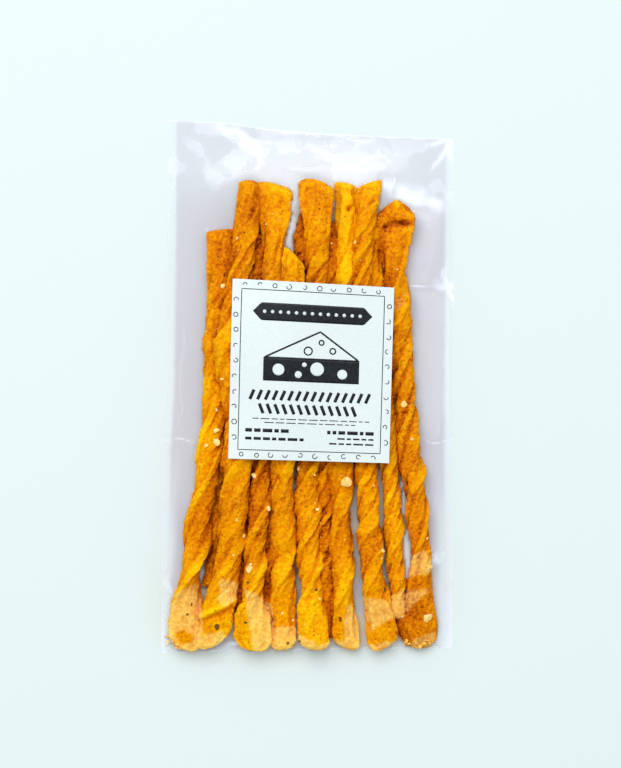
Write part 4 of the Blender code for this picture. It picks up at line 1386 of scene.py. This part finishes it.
def stage_floor():
    """Plain pale floor, which isn't part of the object."""
    made, output = new_material("pale floor")
    shader = add(made, "BsdfPrincipled", values={"Base Color": linear("#D5E2E0"), "Roughness": 0.9,
                                                 "Specular IOR Level": 0.1})
    surfaced(made, output, shader)
    bpy.ops.mesh.primitive_plane_add(size=FLOOR_SIZE, location=(0.0, 0.0, 0.0))
    floor = bpy.context.object
    floor.name = "floor"
    floor.data.materials.append(made)


# Light and camera

# Softboxes: azimuth from +X, height above the table in degrees, distance and sizes in metres, power
# in watts, and what they do: light the pack, or only glare on its film
Softbox = namedtuple("Softbox", "name azimuth height distance width depth power use")
SOFTBOXES = (
    Softbox("softbox_above", 108.0, 62.0, 2.00, 1.60, 1.60, 29.5, "light"),
    Softbox("glare_top", 95.0, 33.0, 1.00, 1.20, 0.75, 34.0, "glare"),
    Softbox("glare_right", 8.0, 28.0, 1.00, 0.45, 0.30, 3.0, "glare"),
)
WORLD_COLOUR = (0.93, 0.95, 1.0, 1.0)
WORLD_STRENGTH = 0.74


def make_light():
    """Soft light from above and upper left. The film mirrors only the two low glare boxes, so that it
    shines on its slopes and stays clear where it is level."""
    for box in SOFTBOXES:
        lamp = bpy.data.lights.new(box.name, "AREA")
        lamp.shape = "RECTANGLE"
        lamp.size, lamp.size_y = box.width, box.depth
        lamp.energy = box.power
        made = bpy.data.objects.new(box.name, lamp)
        azimuth, height = math.radians(box.azimuth), math.radians(box.height)
        made.location = (box.distance * math.cos(height) * math.cos(azimuth),
                         box.distance * math.cos(height) * math.sin(azimuth),
                         box.distance * math.sin(height))
        made.rotation_euler = (-made.location).to_track_quat("-Z", "Y").to_euler()
        made.visible_glossy = box.use == "glare"
        made.visible_diffuse = box.use == "light"
        bpy.context.scene.collection.objects.link(made)
    world = bpy.data.worlds.new("pale studio")
    world.use_nodes = True
    sky = world.node_tree.nodes["Background"]
    sky.inputs["Color"].default_value = WORLD_COLOUR
    sky.inputs["Strength"].default_value = WORLD_STRENGTH
    world.cycles_visibility.glossy = False
    bpy.context.scene.world = world


def make_camera():
    """Long lens straight above the pack, with the picture's top towards the bag's top edge."""
    data = bpy.data.cameras.new("camera")
    data.sensor_width = SENSOR
    level = (BAG_LOW.z + BAG_HIGH.z) / 2
    data.lens = SENSOR * (CAMERA_HEIGHT - level) / (PICTURE_HEIGHT * PIXEL)
    camera = bpy.data.objects.new("camera", data)
    camera.location = ((PICTURE_WIDTH / 2 - BAG_CENTRE_PIXEL[0]) * PIXEL,
                       (BAG_CENTRE_PIXEL[1] - PICTURE_HEIGHT / 2) * PIXEL, CAMERA_HEIGHT)
    bpy.context.scene.collection.objects.link(camera)
    bpy.context.scene.camera = camera


def main():
    """Makes the pieces from the inside out: twists, crumbs, film, label; then floor, light and camera."""
    curves = resting_curves()
    shapes = [shaped_twist(twist, number, curves[twist.name]) for number, twist in enumerate(TWISTS, start=1)]
    bare = np.zeros(FILM_SHAPE)
    for skin, _ in shapes:
        bare = raised(bare, skin)
    around = smoothed(bare, NEIGHBOUR_ROUNDS)
    dough = baked_dough()
    for twist, (skin, toast_and_shade) in zip(TWISTS, shapes):
        make_twist(twist, skin, toast_and_shade, around, dough)

    draw = np.random.default_rng(5)
    dust = scattered(draw, DUST_COUNT, DUST_BOX, *DUST_BREADTHS)
    dust = dust[height_at(bare, dust[:, 0] * MM, dust[:, 1] * MM) > ON_DOUGH]
    corners = [scattered(draw, LOOSE_COUNT, box, *LOOSE_BREADTHS) for box in LOOSE_CORNERS]
    obstacle = bare
    for name, spots, look, seed, flatness, slimness in (
            ("cheese_crumbs", np.concatenate((CHEESE_CRUMBS, dust)), hard_cheese(), 21, 0.45, 0.7),
            ("loose_crumbs", np.concatenate(corners), baked_crumb(), 22, 0.45, 0.6),
            ("herb_flakes", HERB_FLAKES, dried_herb(), 23, 0.18, 0.3)):
        crumbs = make_crumbs(name, on_surface(bare, spots), look, seed, flatness, slimness)
        obstacle = raised(obstacle, crumbs)

    obstacle = spread(obstacle) + FILM_CLEARANCE
    film, underside, covered = film_and_label(obstacle)
    front_look = clear_film("front", FRONT_TINT, FRONT_TINT)
    make_film(film, covered, obstacle, bare, front_look, clear_film("back", BACK_TINT, WARM_TINT))
    paper = label_paper()
    make_label(underside, paper)
    ink, pale = label_print()
    make_print("label_print", ink, underside, INK_LIFT, dark_ink())
    make_print("label_print_pale", pale, underside, PALE_LIFT, paper)
    stage_floor()
    make_light()
    make_camera()
    bpy.context.scene.view_settings.view_transform = "Standard"


main()
